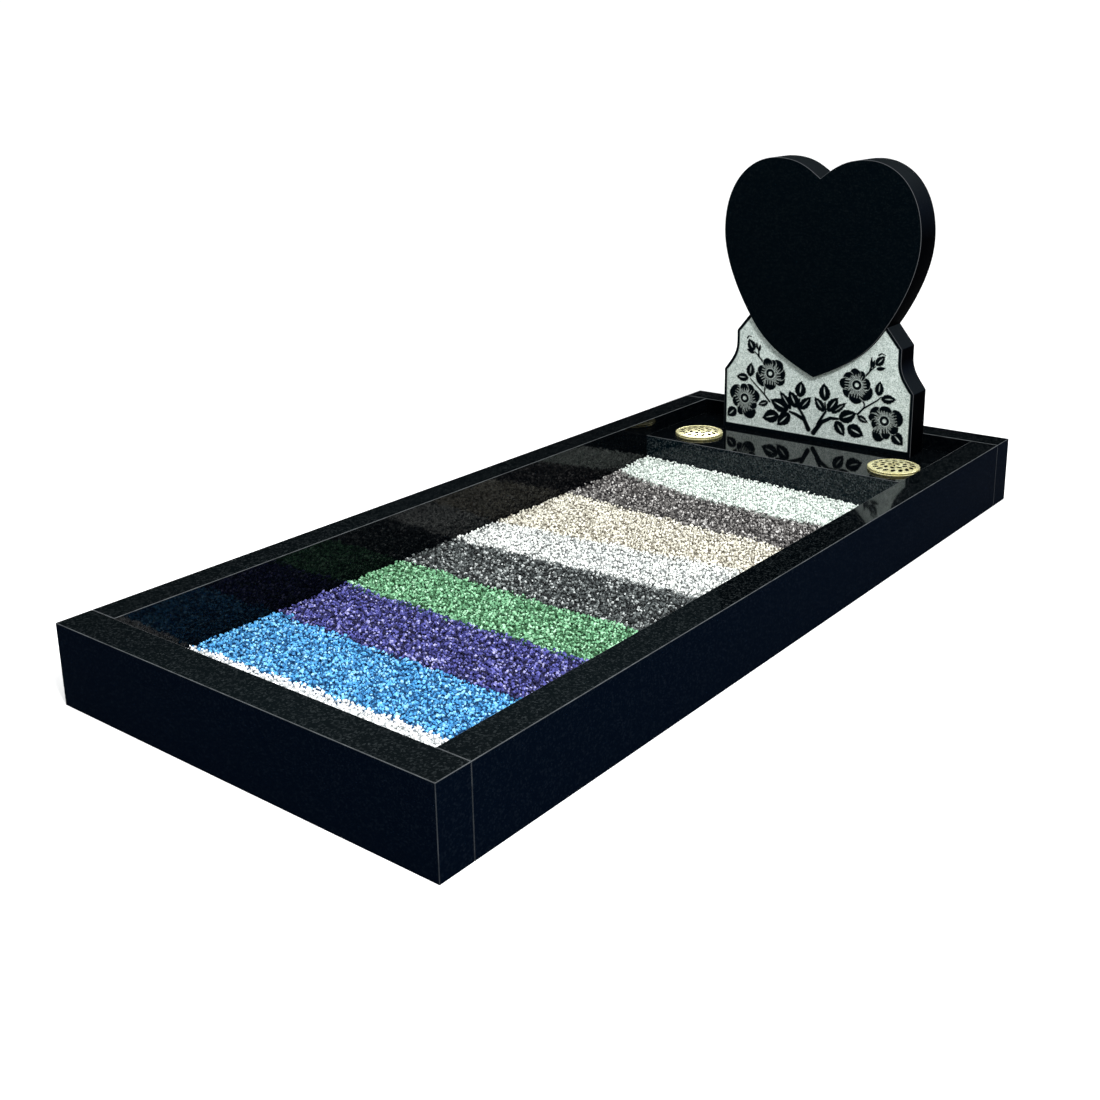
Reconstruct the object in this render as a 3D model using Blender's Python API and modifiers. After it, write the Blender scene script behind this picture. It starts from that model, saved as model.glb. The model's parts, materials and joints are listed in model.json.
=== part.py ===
"""Kerbed grave memorial: a heart headstone on its plinth, inside a kerb set filled with chippings.

The kerb set lies on the ground, z = 0 is its underside, and the origin is the middle of its
footprint. The headstone faces -Y, towards the front kerb. Every piece of stone is cut square,
with a narrow polished arris along its edges, and meets its neighbour with a hairline joint.
"""
import math
import random

import bmesh
import bpy

# Kerb set
SET_LENGTH = 1.980
SET_WIDTH = 0.862
KERB_HEIGHT = 0.150
SIDE_KERB_WIDTH = 0.064
END_KERB_WIDTH = 0.069
ARRIS = 0.0015
JOINT = 0.0003

# Plinth, let in between the kerbs at the head end
PLINTH_HEIGHT = 0.112
PLINTH_DEPTH = 0.283

# Headstone: a shouldered plate with a heart standing proud of it, cut from one slab
PLATE_SETBACK = 0.192
PLATE_THICKNESS = 0.070
PLATE_WIDTH = 0.513
SHOULDER_HEIGHT = 0.152
WAIST_WIDTH = 0.443
WAIST_HEIGHT = 0.228
NECK_LENGTH = 0.028
HEART_PROUD = 0.010
HEART_WIDTH = 0.515
HEART_TIP_HEIGHT = 0.163
HEART_RISE = 0.524
CURVE_STEPS = 7
CROWN_ACROSS = 0.591
CROWN_UP = 0.341

# Blasted panel on the plate, with its flowers left standing; they are drawn for a plate of
# SPRAY_SPAN and grow with the plate
PANEL_MARGIN = 0.008
PANEL_FOOT = 0.012
PANEL_DEPTH = 0.0015
SPRAY_SPAN = 0.513
FLOWER_RADIUS = 0.044
PETAL_WIDTH = 0.025
PETAL_INNER = 0.018
PETALS = 8
EYE_RADIUS = 0.012
LEAF_SIDES = 8
LEAF_POINT = 1.4

# Flower pots sunk in the plinth, and the pierced lids on them
POT_INSET = 0.103
POT_SETBACK = 0.086
POT_RADIUS = 0.050
POT_DEPTH = 0.095
POT_WALL = 0.0015
POT_CLEARANCE = 0.0010
RIM_RADIUS = 0.0595
RIM_THICKNESS = 0.0020
LID_THICKNESS = 0.0015
LID_SKIRT = 0.0035
LID_DOME = 0.0060
TURN_STEPS = 28
DOME_STEPS = 3
SLOT_RINGS = ((6, 0.021, 0.016, 0.0060, 0), (12, 0.042, 0.015, 0.0060, 25))

# Chippings, laid in bands from the front kerb to the plinth
CHIP_DEPTH = 0.048
CHIP_HEAP = 0.011
CHIP_BUMP = 0.0025
BED_SEED = 11
BAND_COLUMNS = 12
BAND_ROWS = 3

BLACK_GRANITE = ("polished_black_granite", (0.012, 0.013, 0.015, 1), 0.08, 0.0)
GOLD = ("gold_anodised_metal", (0.80, 0.68, 0.36, 1), 0.25, 1.0)
# Name, colour, and where the band ends, as shares of the bed at the left, middle and right
BANDS = (
    ("chippings_white_front", (0.90, 0.90, 0.88), (0.094, 0.104, 0.110)),
    ("chippings_blue", (0.10, 0.36, 0.72), (0.217, 0.212, 0.215)),
    ("chippings_purple", (0.10, 0.06, 0.30), (0.331, 0.327, 0.332)),
    ("chippings_green", (0.15, 0.47, 0.23), (0.433, 0.428, 0.431)),
    ("chippings_dark_grey", (0.07, 0.08, 0.09), (0.535, 0.544, 0.556)),
    ("chippings_white_fleck", (0.80, 0.80, 0.78), (0.623, 0.646, 0.669)),
    ("chippings_cream", (0.70, 0.58, 0.45), (0.788, 0.770, 0.767)),
    ("chippings_brown_grey", (0.14, 0.12, 0.13), (0.920, 0.876, 0.886)),
    ("chippings_pale_green", (0.78, 0.84, 0.78), (1.0, 1.0, 1.0)),
)

# Leaves of the two sprays, in the plate's face: base x and z, tip x and z, and width
LEAVES = (
    (-0.040, 0.106, -0.036, 0.148, 0.024), (-0.038, 0.076, -0.008, 0.111, 0.019),
    (-0.047, 0.078, -0.069, 0.119, 0.024), (-0.063, 0.072, -0.096, 0.115, 0.016),
    (-0.070, 0.068, -0.122, 0.089, 0.027), (-0.066, 0.060, -0.101, 0.025, 0.025),
    (-0.097, 0.053, -0.144, 0.037, 0.027), (-0.128, 0.081, -0.157, 0.070, 0.013),
    (-0.182, 0.140, -0.179, 0.177, 0.019), (-0.186, 0.136, -0.222, 0.136, 0.017),
    (-0.221, 0.052, -0.246, 0.028, 0.022), (-0.172, 0.208, -0.188, 0.237, 0.019),
    (0.030, 0.106, 0.025, 0.151, 0.024), (0.028, 0.079, 0.001, 0.113, 0.018),
    (0.038, 0.081, 0.065, 0.120, 0.021), (0.049, 0.078, 0.088, 0.110, 0.013),
    (0.069, 0.066, 0.115, 0.088, 0.026), (0.060, 0.060, 0.085, 0.025, 0.022),
    (0.092, 0.050, 0.136, 0.034, 0.027), (0.117, 0.081, 0.146, 0.068, 0.013),
    (0.169, 0.138, 0.172, 0.175, 0.018), (0.176, 0.131, 0.215, 0.135, 0.018),
    (0.209, 0.053, 0.237, 0.026, 0.024), (0.159, 0.211, 0.181, 0.236, 0.016),
)
# Centre x and z, and the turn of the first petal in degrees
FLOWERS = ((-0.124, 0.155, 8), (-0.195, 0.081, 20), (0.112, 0.156, 2), (0.187, 0.079, 18))
# Stems as their points x and z, with the width of each
STEMS = (
    (0.006, ((-0.013, 0.028), (-0.025, 0.051), (-0.050, 0.061), (-0.066, 0.065))),
    (0.004, ((-0.025, 0.055), (-0.035, 0.070), (-0.043, 0.078), (-0.039, 0.102))),
    (0.003, ((-0.124, 0.083), (-0.142, 0.102), (-0.166, 0.122), (-0.181, 0.135))),
    (0.003, ((-0.149, 0.186), (-0.160, 0.197), (-0.170, 0.206))),
    (0.006, ((0.001, 0.021), (0.022, 0.051), (0.046, 0.065), (0.066, 0.066))),
    (0.004, ((0.012, 0.044), (0.024, 0.066), (0.033, 0.080), (0.030, 0.102))),
    (0.003, ((0.117, 0.085), (0.132, 0.102), (0.166, 0.126), (0.176, 0.136))),
    (0.003, ((0.136, 0.185), (0.147, 0.198), (0.158, 0.208))),
)

HALF_LENGTH = SET_LENGTH / 2
HALF_WIDTH = SET_WIDTH / 2
BED_HALF_WIDTH = HALF_WIDTH - SIDE_KERB_WIDTH
BED_FRONT = -HALF_LENGTH + END_KERB_WIDTH
PLINTH_BACK = HALF_LENGTH - END_KERB_WIDTH - JOINT
PLINTH_FRONT = PLINTH_BACK - PLINTH_DEPTH
STONE_FOOT = PLINTH_HEIGHT + JOINT
PLATE_FACE = PLINTH_FRONT + PLATE_SETBACK
STONE_BACK = PLATE_FACE + PLATE_THICKNESS
POT_Y = PLINTH_FRONT + POT_SETBACK
POT_X = BED_HALF_WIDTH - POT_INSET
SPRAY_SCALE = PLATE_WIDTH / SPRAY_SPAN
OVERCUT = 0.002


def clear_scene():
    """Removes whatever the new file came with."""
    for obj in list(bpy.data.objects):
        bpy.data.objects.remove(obj, do_unlink=True)


def new_collection(name):
    """Adds a collection to the scene."""
    collection = bpy.data.collections.new(name)
    bpy.context.scene.collection.children.link(collection)
    return collection


def new_material(name, colour, roughness, metallic):
    """A plain finish: colour, roughness and metal or not."""
    material = bpy.data.materials.new(name)
    material.use_nodes = True
    shader = material.node_tree.nodes["Principled BSDF"]
    shader.inputs["Base Color"].default_value = colour
    shader.inputs["Roughness"].default_value = roughness
    shader.inputs["Metallic"].default_value = metallic
    return material


def add_mesh(name, bm, collection, material=None, location=(0, 0, 0)):
    """Makes an object of a bmesh, whose faces are turned outwards first."""
    bmesh.ops.recalc_face_normals(bm, faces=bm.faces)
    mesh = bpy.data.meshes.new(name)
    bm.to_mesh(mesh)
    bm.free()
    obj = bpy.data.objects.new(name, mesh)
    obj.location = location
    collection.objects.link(obj)
    if material:
        mesh.materials.append(material)
    return obj


def make_cutter(obj):
    """Marks an object as one that only cuts others."""
    obj.hide_render = True
    obj.display_type = "WIRE"
    return obj


def boolean(obj, cutter, operation):
    """Adds an exact boolean with one cutter."""
    modifier = obj.modifiers.new(operation.lower(), "BOOLEAN")
    modifier.operation = operation
    modifier.solver = "EXACT"
    modifier.use_self = True
    modifier.object = cutter


def block(name, low, high, collection, material):
    """A sawn block of stone between two corners, with an arris on every edge."""
    bm = bmesh.new()
    bmesh.ops.create_cube(bm, size=1)
    size = [b - a for a, b in zip(low, high)]
    middle = [(a + b) / 2 for a, b in zip(low, high)]
    bmesh.ops.scale(bm, vec=size, verts=bm.verts)
    obj = add_mesh(name, bm, collection, material, middle)
    edge = obj.modifiers.new("arris", "BEVEL")
    edge.width = ARRIS
    edge.segments = 1
    return obj


def turned(name, profile, location, collection, material):
    """Turns a profile of (radius, height) points about the Z axis."""
    mesh = bpy.data.meshes.new(name)
    edges = [(i, i + 1) for i in range(len(profile) - 1)]
    mesh.from_pydata([(radius, 0, height) for radius, height in profile], edges, [])
    mesh.materials.append(material)
    obj = bpy.data.objects.new(name, mesh)
    obj.location = location
    collection.objects.link(obj)
    spin = obj.modifiers.new("turn", "SCREW")
    spin.steps = TURN_STEPS
    spin.render_steps = TURN_STEPS
    spin.use_merge_vertices = True
    spin.merge_threshold = 0.00001
    return obj


def curve_plate(name, points, front, back, arris, inset, collection):
    """A flat slab in the XZ plane from a closed outline of (point, left handle, right handle).

    The outline is a 2D curve that lies in its own XY plane, so it is stood up by a quarter turn
    and its thickness runs from y = front to y = back. The arris is the curve's own bevel, which
    the inset takes back inside the outline.
    """
    curve = bpy.data.curves.new(name, "CURVE")
    curve.dimensions = "2D"
    curve.fill_mode = "BOTH"
    curve.extrude = (back - front) / 2 - arris
    curve.bevel_depth = arris
    curve.bevel_resolution = 0
    curve.offset = -inset - arris
    curve.resolution_u = CURVE_STEPS
    spline = curve.splines.new("BEZIER")
    spline.bezier_points.add(len(points) - 1)
    spline.use_cyclic_u = True
    for knot, (place, left, right) in zip(spline.bezier_points, points):
        knot.handle_left_type = "FREE"
        knot.handle_right_type = "FREE"
        knot.co = (place[0], place[1], 0)
        knot.handle_left = (left[0], left[1], 0)
        knot.handle_right = (right[0], right[1], 0)
    source = bpy.data.objects.new(name + "_outline", curve)
    source.rotation_euler = (math.pi / 2, 0, 0)
    source.location = (0, (front + back) / 2, 0)
    collection.objects.link(source)
    bpy.context.view_layer.update()
    mesh = bpy.data.meshes.new_from_object(source.evaluated_get(bpy.context.evaluated_depsgraph_get()))
    bm = bmesh.new()
    bm.from_mesh(mesh)
    bmesh.ops.remove_doubles(bm, verts=bm.verts, dist=0.00002)
    bmesh.ops.transform(bm, matrix=source.matrix_world, verts=bm.verts)
    bpy.data.objects.remove(source, do_unlink=True)
    bpy.data.meshes.remove(mesh)
    return add_mesh(name, bm, collection)


def mirrored(half):
    """Closes an outline that is given for the right half, from its lowest point to its highest."""
    left = [tuple((-x, z) for x, z in (place, out, into)) for place, into, out in reversed(half)]
    if half[-1][0][0] == 0:
        left = left[1:]
    if half[0][0][0] == 0:
        left = left[:-1]
    return half + left


def polar(centre, length, degrees):
    """A point at a distance and an angle from another."""
    angle = math.radians(degrees)
    return (centre[0] + length * math.cos(angle), centre[1] + length * math.sin(angle))


def towards(start, end):
    """The handle of a straight side: a third of the way from one of its ends to the other."""
    return tuple(a + (b - a) / 3 for a, b in zip(start, end))


def heart_outline():
    """Half of the heart: tip, knee, widest point, lobe top and notch, as shares of its size."""
    wide = HEART_WIDTH / 2
    tall = HEART_RISE
    foot = STONE_FOOT + HEART_TIP_HEIGHT
    tip = (0, foot)
    knee = (0.645 * wide, foot + 0.221 * tall)
    side = (wide, foot + 0.662 * tall)
    lobe = (0.453 * wide, foot + tall)
    notch = (0, foot + 0.912 * tall)
    tip_out = polar(tip, 0.116 * tall, 24)
    notch_out = polar(notch, 0.082 * tall, 38)
    return mirrored([
        (tip, (-tip_out[0], tip_out[1]), tip_out),
        (knee, polar(knee, -0.137 * tall, 54.4), polar(knee, 0.091 * tall, 54.4)),
        (side, (wide, side[1] - 0.175 * tall), (wide, side[1] + 0.221 * tall)),
        (lobe, (lobe[0] + 0.286 * wide, lobe[1]), (lobe[0] - 0.214 * wide, lobe[1])),
        (notch, notch_out, (-notch_out[0], notch_out[1])),
    ])


def plate_outline(foot):
    """Half of the plate: foot, shoulder, the sweep in to the waist, neck, and behind the heart."""
    half = PLATE_WIDTH / 2
    waist = WAIST_WIDTH / 2
    shoulder = (half, STONE_FOOT + SHOULDER_HEIGHT)
    sweep_top = (waist, STONE_FOOT + WAIST_HEIGHT)
    neck = (waist, sweep_top[1] + NECK_LENGTH)
    crown = (CROWN_ACROSS * HEART_WIDTH / 2, STONE_FOOT + HEART_TIP_HEIGHT + CROWN_UP * HEART_RISE)
    sweep = WAIST_HEIGHT - SHOULDER_HEIGHT
    corner = (half, foot)
    return mirrored([
        (corner, towards(corner, (-half, foot)), towards(corner, shoulder)),
        (shoulder, towards(shoulder, corner), polar(shoulder, 0.40 * sweep, 125)),
        (sweep_top, (waist, sweep_top[1] - 0.45 * sweep), towards(sweep_top, neck)),
        (neck, towards(neck, sweep_top), towards(neck, crown)),
        (crown, towards(crown, neck), towards(crown, (-crown[0], crown[1]))),
    ])


def prism(bm, points, sweep):
    """Adds a prism: the flat face through the points, swept along a vector."""
    ring = bmesh.ops.create_circle(bm, cap_ends=True, radius=1, segments=len(points))["verts"]
    for vert, place in zip(ring, points):
        vert.co = place
    face = ring[0].link_faces[0]
    grown = bmesh.ops.extrude_face_region(bm, geom=[face])["geom"]
    moved = [item for item in grown if isinstance(item, bmesh.types.BMVert)]
    bmesh.ops.translate(bm, vec=sweep, verts=moved)


def on_plate(x, z):
    """Takes a point of the sprays' drawing to its place on the plate."""
    return (x * SPRAY_SCALE, STONE_FOOT + z * SPRAY_SCALE)


def leaf_outline(base, tip, width):
    """A pointed oval: its half width follows a power of the sine from base to tip."""
    along = (tip[0] - base[0], tip[1] - base[1])
    length = math.hypot(*along)
    across = (-along[1] / length, along[0] / length)
    outline = []
    for step in range(LEAF_SIDES):
        angle = 2 * math.pi * step / LEAF_SIDES
        share = (1 - math.cos(angle)) / 2
        side = math.copysign(abs(math.sin(angle)) ** LEAF_POINT, math.sin(angle)) * width / 2
        outline.append(on_plate(*(base[i] + along[i] * share + across[i] * side for i in (0, 1))))
    return outline


def stem_outline(points, width):
    """A ribbon along a path, tapering to half its width at the far end."""
    sides = ([], [])
    last = len(points) - 1
    for index, (x, z) in enumerate(points):
        before = points[max(index - 1, 0)]
        after = points[min(index + 1, last)]
        run = (after[0] - before[0], after[1] - before[1])
        length = math.hypot(*run)
        half = width / 2 * (1 - 0.5 * index / last)
        for side, sign in zip(sides, (1, -1)):
            side.append(on_plate(x - sign * run[1] / length * half, z + sign * run[0] / length * half))
    return sides[0] + sides[1][::-1]


def flower_outlines(x, z, turn):
    """The petals of one open flower, and the eye at its middle."""
    outlines = []
    for index in range(PETALS):
        angle = turn + 360 * index / PETALS
        inner = polar((x, z), PETAL_INNER, angle)
        outer = polar((x, z), FLOWER_RADIUS, angle)
        outlines.append(leaf_outline(inner, outer, PETAL_WIDTH))
    eye = [on_plate(*polar((x, z), EYE_RADIUS, 360 * index / PETALS)) for index in range(PETALS)]
    return outlines + [eye]


def make_panel_cutter(cutters):
    """The ground that is blasted away: the panel, less the leaves, stems and flowers on it."""
    foot = STONE_FOOT + PANEL_FOOT - PANEL_MARGIN
    ground = curve_plate("panel_ground", plate_outline(foot), PLATE_FACE - OVERCUT,
                         PLATE_FACE + PANEL_DEPTH, 0, PANEL_MARGIN, cutters)
    bm = bmesh.new()
    outlines = [leaf_outline(leaf[0:2], leaf[2:4], leaf[4]) for leaf in LEAVES]
    outlines += [stem_outline(points, width) for width, points in STEMS]
    for flower in FLOWERS:
        outlines += flower_outlines(*flower)
    front = PLATE_FACE - 2 * OVERCUT
    for outline in outlines:
        prism(bm, [(x, front, z) for x, z in outline], (0, PANEL_DEPTH + 3 * OVERCUT, 0))
    carving = add_mesh("panel_carving", bm, cutters)
    boolean(ground, make_cutter(carving), "DIFFERENCE")
    return make_cutter(ground)


def make_headstone(parts, cutters, granite):
    """The plate with its panel, joined to the heart that stands proud of it."""
    stone = curve_plate("headstone", plate_outline(STONE_FOOT), PLATE_FACE, STONE_BACK, ARRIS, 0, parts)
    stone.data.materials.append(granite)
    heart = curve_plate("heart", heart_outline(), PLATE_FACE - HEART_PROUD, STONE_BACK, ARRIS, 0, cutters)
    boolean(stone, make_panel_cutter(cutters), "DIFFERENCE")
    boolean(stone, make_cutter(heart), "UNION")
    return stone


def make_kerbs(parts, granite):
    """Two end kerbs at the full width, and two side kerbs cut to fit between them."""
    front = (-HALF_LENGTH, BED_FRONT)
    back = (HALF_LENGTH - END_KERB_WIDTH, HALF_LENGTH)
    for name, (low, high) in (("front_kerb", front), ("back_kerb", back)):
        block(name, (-HALF_WIDTH, low, 0), (HALF_WIDTH, high, KERB_HEIGHT), parts, granite)
    for name, low in (("left_kerb", -HALF_WIDTH), ("right_kerb", BED_HALF_WIDTH)):
        block(name, (low, BED_FRONT + JOINT, 0),
              (low + SIDE_KERB_WIDTH, back[0] - JOINT, KERB_HEIGHT), parts, granite)


def make_plinth(parts, cutters, granite):
    """The base stone, bored right through for the two pots."""
    half = BED_HALF_WIDTH - JOINT
    plinth = block("plinth", (-half, PLINTH_FRONT, 0), (half, PLINTH_BACK, PLINTH_HEIGHT), parts, granite)
    for side, x in (("left", -POT_X), ("right", POT_X)):
        bm = bmesh.new()
        bore = POT_RADIUS + POT_CLEARANCE
        bmesh.ops.create_cone(bm, cap_ends=True, segments=TURN_STEPS, radius1=bore, radius2=bore,
                              depth=2 * PLINTH_HEIGHT)
        cutter = add_mesh("bore_" + side, bm, cutters, location=(x, POT_Y, PLINTH_HEIGHT / 2))
        boolean(plinth, make_cutter(cutter), "DIFFERENCE")


def make_pot(name, x, parts, gold):
    """A spun pot: a thin cup with a flange that rests on the plinth around the bore."""
    seat = PLINTH_HEIGHT + JOINT
    inner = POT_RADIUS - POT_WALL
    base = seat - POT_DEPTH
    profile = [
        (0, base + POT_WALL), (inner, base + POT_WALL), (inner, seat + RIM_THICKNESS),
        (RIM_RADIUS, seat + RIM_THICKNESS), (RIM_RADIUS, seat), (POT_RADIUS, seat),
        (POT_RADIUS, base), (0, base),
    ]
    turned(name, profile, (x, POT_Y, 0), parts, gold)


def make_lid(name, x, parts, cutters, gold):
    """A shallow domed lid with a short skirt, pierced by rings of leaf-shaped slots."""
    seat = PLINTH_HEIGHT + RIM_THICKNESS + 2 * JOINT
    edge = seat + LID_SKIRT
    shares = [step / DOME_STEPS for step in range(DOME_STEPS + 1)]
    arc = [(RIM_RADIUS * share, LID_DOME * (1 - share ** 2)) for share in shares]
    inner = RIM_RADIUS - LID_THICKNESS
    under = [(inner * radius / RIM_RADIUS, edge + rise - LID_THICKNESS) for radius, rise in arc[::-1]]
    profile = [(radius, edge + rise) for radius, rise in arc]
    profile += [(RIM_RADIUS, seat), (inner, seat)] + under
    lid = turned(name, profile, (x, POT_Y, 0), parts, gold)
    bm = bmesh.new()
    for count, radius, length, width, slant in SLOT_RINGS:
        for index in range(count):
            turn = 360 * index / count
            middle = polar((0, 0), radius, turn)
            half = length / 2
            slot = [polar(middle, half if corner % 3 == 0 else width / 2, 60 * corner + turn + slant)
                    for corner in range(6)]
            prism(bm, [(*place, seat) for place in slot], (0, 0, LID_SKIRT + 2 * LID_DOME))
    cutter = add_mesh(name + "_slots", bm, cutters, location=(x, POT_Y, 0))
    boolean(lid, make_cutter(cutter), "DIFFERENCE")


def border(shares, x):
    """How far along the bed a band ends at x: the parabola through its three shares."""
    left, middle, right = shares
    t = x / BED_HALF_WIDTH
    share = middle + (right - left) / 2 * t + ((left + right) / 2 - middle) * t * t
    return BED_FRONT + share * (PLINTH_FRONT - BED_FRONT)


def chip_level(x, y):
    """The level of the chippings: flat, but heaped to the left where they meet the plinth."""
    share = (y - BED_FRONT) / (PLINTH_FRONT - BED_FRONT)
    heap = max(0.0, (share - 0.8) / 0.2) ** 2
    return CHIP_DEPTH - CHIP_HEAP * heap * x / BED_HALF_WIDTH


def make_bands(parts):
    """One closed slab of chippings for each colour, its top slightly uneven."""
    rng = random.Random(BED_SEED)
    start = (0.0, 0.0, 0.0)
    for name, colour, end in BANDS:
        finish = new_material(name, (*colour, 1), 0.7, 0.0)
        bm = bmesh.new()
        bmesh.ops.create_grid(bm, x_segments=BAND_COLUMNS, y_segments=BAND_ROWS, size=1)
        for vert in bm.verts:
            x = vert.co.x * (BED_HALF_WIDTH - JOINT)
            across = (vert.co.y + 1) / 2
            low = border(start, x) + JOINT / 2 + (JOINT / 2 if start[0] == 0 else 0)
            high = border(end, x) - JOINT / 2 - (JOINT / 2 if end[0] == 1 else 0)
            y = low + across * (high - low)
            vert.co = (x, y, chip_level(x, y) + rng.uniform(-CHIP_BUMP, CHIP_BUMP))
        grown = bmesh.ops.extrude_face_region(bm, geom=list(bm.faces))["geom"]
        for item in grown:
            if isinstance(item, bmesh.types.BMVert):
                item.co.z = 0
        add_mesh(name, bm, parts, finish)
        start = end


def main():
    """Builds the whole memorial."""
    clear_scene()
    parts = new_collection("kerbed_heart_memorial")
    cutters = new_collection("cutters")
    granite = new_material(*BLACK_GRANITE)
    gold = new_material(*GOLD)
    make_kerbs(parts, granite)
    make_plinth(parts, cutters, granite)
    make_headstone(parts, cutters, granite)
    for side, x in (("left", -POT_X), ("right", POT_X)):
        make_pot("flower_pot_" + side, x, parts, gold)
        make_lid("pot_lid_" + side, x, parts, cutters, gold)
    make_bands(parts)


main()
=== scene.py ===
# %% [markdown]
# # A kerbed grave memorial with a heart headstone
#
# The real object is cut from black granite: four kerbs laid on the ground, a plinth let in at the
# head end, and on the plinth one slab that is a shouldered plate below and a heart above. Two gold
# pots with pierced lids are sunk in the plinth, and the bed between the kerbs is filled with bands
# of coloured chippings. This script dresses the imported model, which is the fixed frame: it never
# moves a part, and every new piece takes its place from the frame's own boxes.

# %% The fixed frame
import json
import math

import bmesh
import bpy
import numpy as np
from mathutils import Matrix, Vector

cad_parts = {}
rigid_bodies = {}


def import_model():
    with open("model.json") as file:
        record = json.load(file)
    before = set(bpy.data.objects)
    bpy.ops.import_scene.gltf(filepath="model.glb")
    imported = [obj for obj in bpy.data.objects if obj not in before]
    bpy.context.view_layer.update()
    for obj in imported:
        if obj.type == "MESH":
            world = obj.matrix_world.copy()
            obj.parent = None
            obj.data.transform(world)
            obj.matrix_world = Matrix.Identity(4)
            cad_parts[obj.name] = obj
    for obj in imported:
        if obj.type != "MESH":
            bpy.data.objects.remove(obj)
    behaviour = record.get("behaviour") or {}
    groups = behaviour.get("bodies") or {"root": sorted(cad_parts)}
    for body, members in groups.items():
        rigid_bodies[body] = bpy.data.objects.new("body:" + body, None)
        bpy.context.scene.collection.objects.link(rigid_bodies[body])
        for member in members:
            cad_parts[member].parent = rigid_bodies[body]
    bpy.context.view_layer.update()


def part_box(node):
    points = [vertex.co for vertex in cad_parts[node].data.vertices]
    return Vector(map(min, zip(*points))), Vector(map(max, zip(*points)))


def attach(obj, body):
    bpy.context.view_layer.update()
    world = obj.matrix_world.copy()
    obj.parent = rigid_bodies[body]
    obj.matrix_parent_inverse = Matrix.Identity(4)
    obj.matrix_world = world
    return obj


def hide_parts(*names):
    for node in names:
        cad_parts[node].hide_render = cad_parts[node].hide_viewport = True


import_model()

# %% [markdown]
# ## The sizes that the frame doesn't say
#
# The boxes of the nodes give where each stone starts and ends. What lies inside a box, such as the
# curve of the shoulder or the height of the heart's tip, is repeated here in metres.

# %% Sizes of the stone
ARRIS = 0.0012
PLATE_THICKNESS = 0.070
PLATE_WIDTH = 0.513
SHOULDER_HEIGHT = 0.152
WAIST_WIDTH = 0.443
WAIST_HEIGHT = 0.228
NECK_LENGTH = 0.028
CROWN_ACROSS = 0.591
CROWN_UP = 0.341
HEART_PROUD = 0.010
HEART_WIDTH = 0.515
HEART_TIP_HEIGHT = 0.163
HEART_RISE = 0.524

stone_low, stone_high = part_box("headstone")
plinth_low, plinth_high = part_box("plinth")
STONE_FOOT = stone_low.z
STONE_BACK = stone_high.y
PLATE_FACE = STONE_BACK - PLATE_THICKNESS
BED_HALF_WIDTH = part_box("right_kerb")[0].x
BED_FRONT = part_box("front_kerb")[1].y
PLINTH_FRONT = plinth_low.y
print(f"the bed is {2 * BED_HALF_WIDTH:.3f} m wide and {PLINTH_FRONT - BED_FRONT:.3f} m long")

# %% [markdown]
# ## The camera
#
# The photograph was taken from in front and to the right, a metre above the ground. Its place and
# turn come from fitting a pinhole camera to the corners of the kerbs. The view is turned down and
# to the left with a trace of roll, and the picture's middle lies a little below the optical axis,
# which a small vertical shift of the lens gives.

# %% Camera
PHOTO_SIDE = 1100
FOCAL_PIXELS = 1348.9
AXIS_ABOVE_MIDDLE = 100
CAMERA_PLACE = (1.5126, -2.0865, 1.0315)
TURN_DOWN = 16.12
TURN_LEFT = 38.86
ROLL = -1.06
SENSOR = 36

camera_data = bpy.data.cameras.new("camera")
camera_data.sensor_width = SENSOR
camera_data.lens = FOCAL_PIXELS / PHOTO_SIDE * SENSOR
camera_data.shift_y = -AXIS_ABOVE_MIDDLE / PHOTO_SIDE
camera_data.clip_end = 60
camera = bpy.data.objects.new("camera", camera_data)
camera.location = CAMERA_PLACE
down, left, roll = (math.radians(angle) for angle in (TURN_DOWN, TURN_LEFT, ROLL))
forward = np.array([-math.sin(left) * math.cos(down), math.cos(left) * math.cos(down), -math.sin(down)])
right = np.array([math.cos(left), math.sin(left), 0])
up = np.cross(right, forward)
axes = np.stack([math.cos(roll) * right + math.sin(roll) * up,
                 math.cos(roll) * up - math.sin(roll) * right, -forward], axis=1)
camera.matrix_world = Matrix([[*axes[row], CAMERA_PLACE[row]] for row in range(3)] + [[0, 0, 0, 1]])
bpy.context.scene.collection.objects.link(camera)
bpy.context.scene.camera = camera
print(f"lens {camera_data.lens:.1f} mm, shift {camera_data.shift_y:.4f}")

# %% [markdown]
# ## Floor and light
#
# Polished black stone shows what it mirrors, so the light is chosen by what stands where the stone
# looks. Seen from the camera the tops of the kerbs mirror the low part of the surroundings, which
# is kept dim, and the light comes from a pale dome overhead. A key light from the right gives the
# chippings their sparkle and dark gaps. A panel far behind stands where the domes of the gold lids
# look. Light linking keeps it off everything else and lets it shine past the headstone. The floor
# is a pale dish: flat under the grave, and turned up at its rim so that it closes the view from
# every side. The view transform is set to Standard, because the default one would wash out a picture of
# black stone on white.

# %% Meshes from arrays
def new_object(name, points, faces, smooth=False):
    """Puts an array of points and a list of faces into a mesh and links its object.

    The faces are shaded smooth or flat all together, or by a list with one flag for each.
    """
    mesh = bpy.data.meshes.new(name)
    mesh.from_pydata(points, [], faces)
    mesh.polygons.foreach_set("use_smooth", np.broadcast_to(smooth, len(mesh.polygons)))
    mesh.update()
    obj = bpy.data.objects.new(name, mesh)
    bpy.context.scene.collection.objects.link(obj)
    return obj


def mark_points(obj, name, values):
    """Stores one number for each point, as an attribute that the materials read."""
    obj.data.attributes.new(name, "FLOAT", "POINT").data.foreach_set("value", values)


def dress(obj, materials, choice=None):
    """Gives a mesh its materials, and each face its choice among them."""
    for material in materials:
        obj.data.materials.append(material)
    if choice is not None:
        obj.data.polygons.foreach_set("material_index", np.asarray(choice, np.int32))


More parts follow.
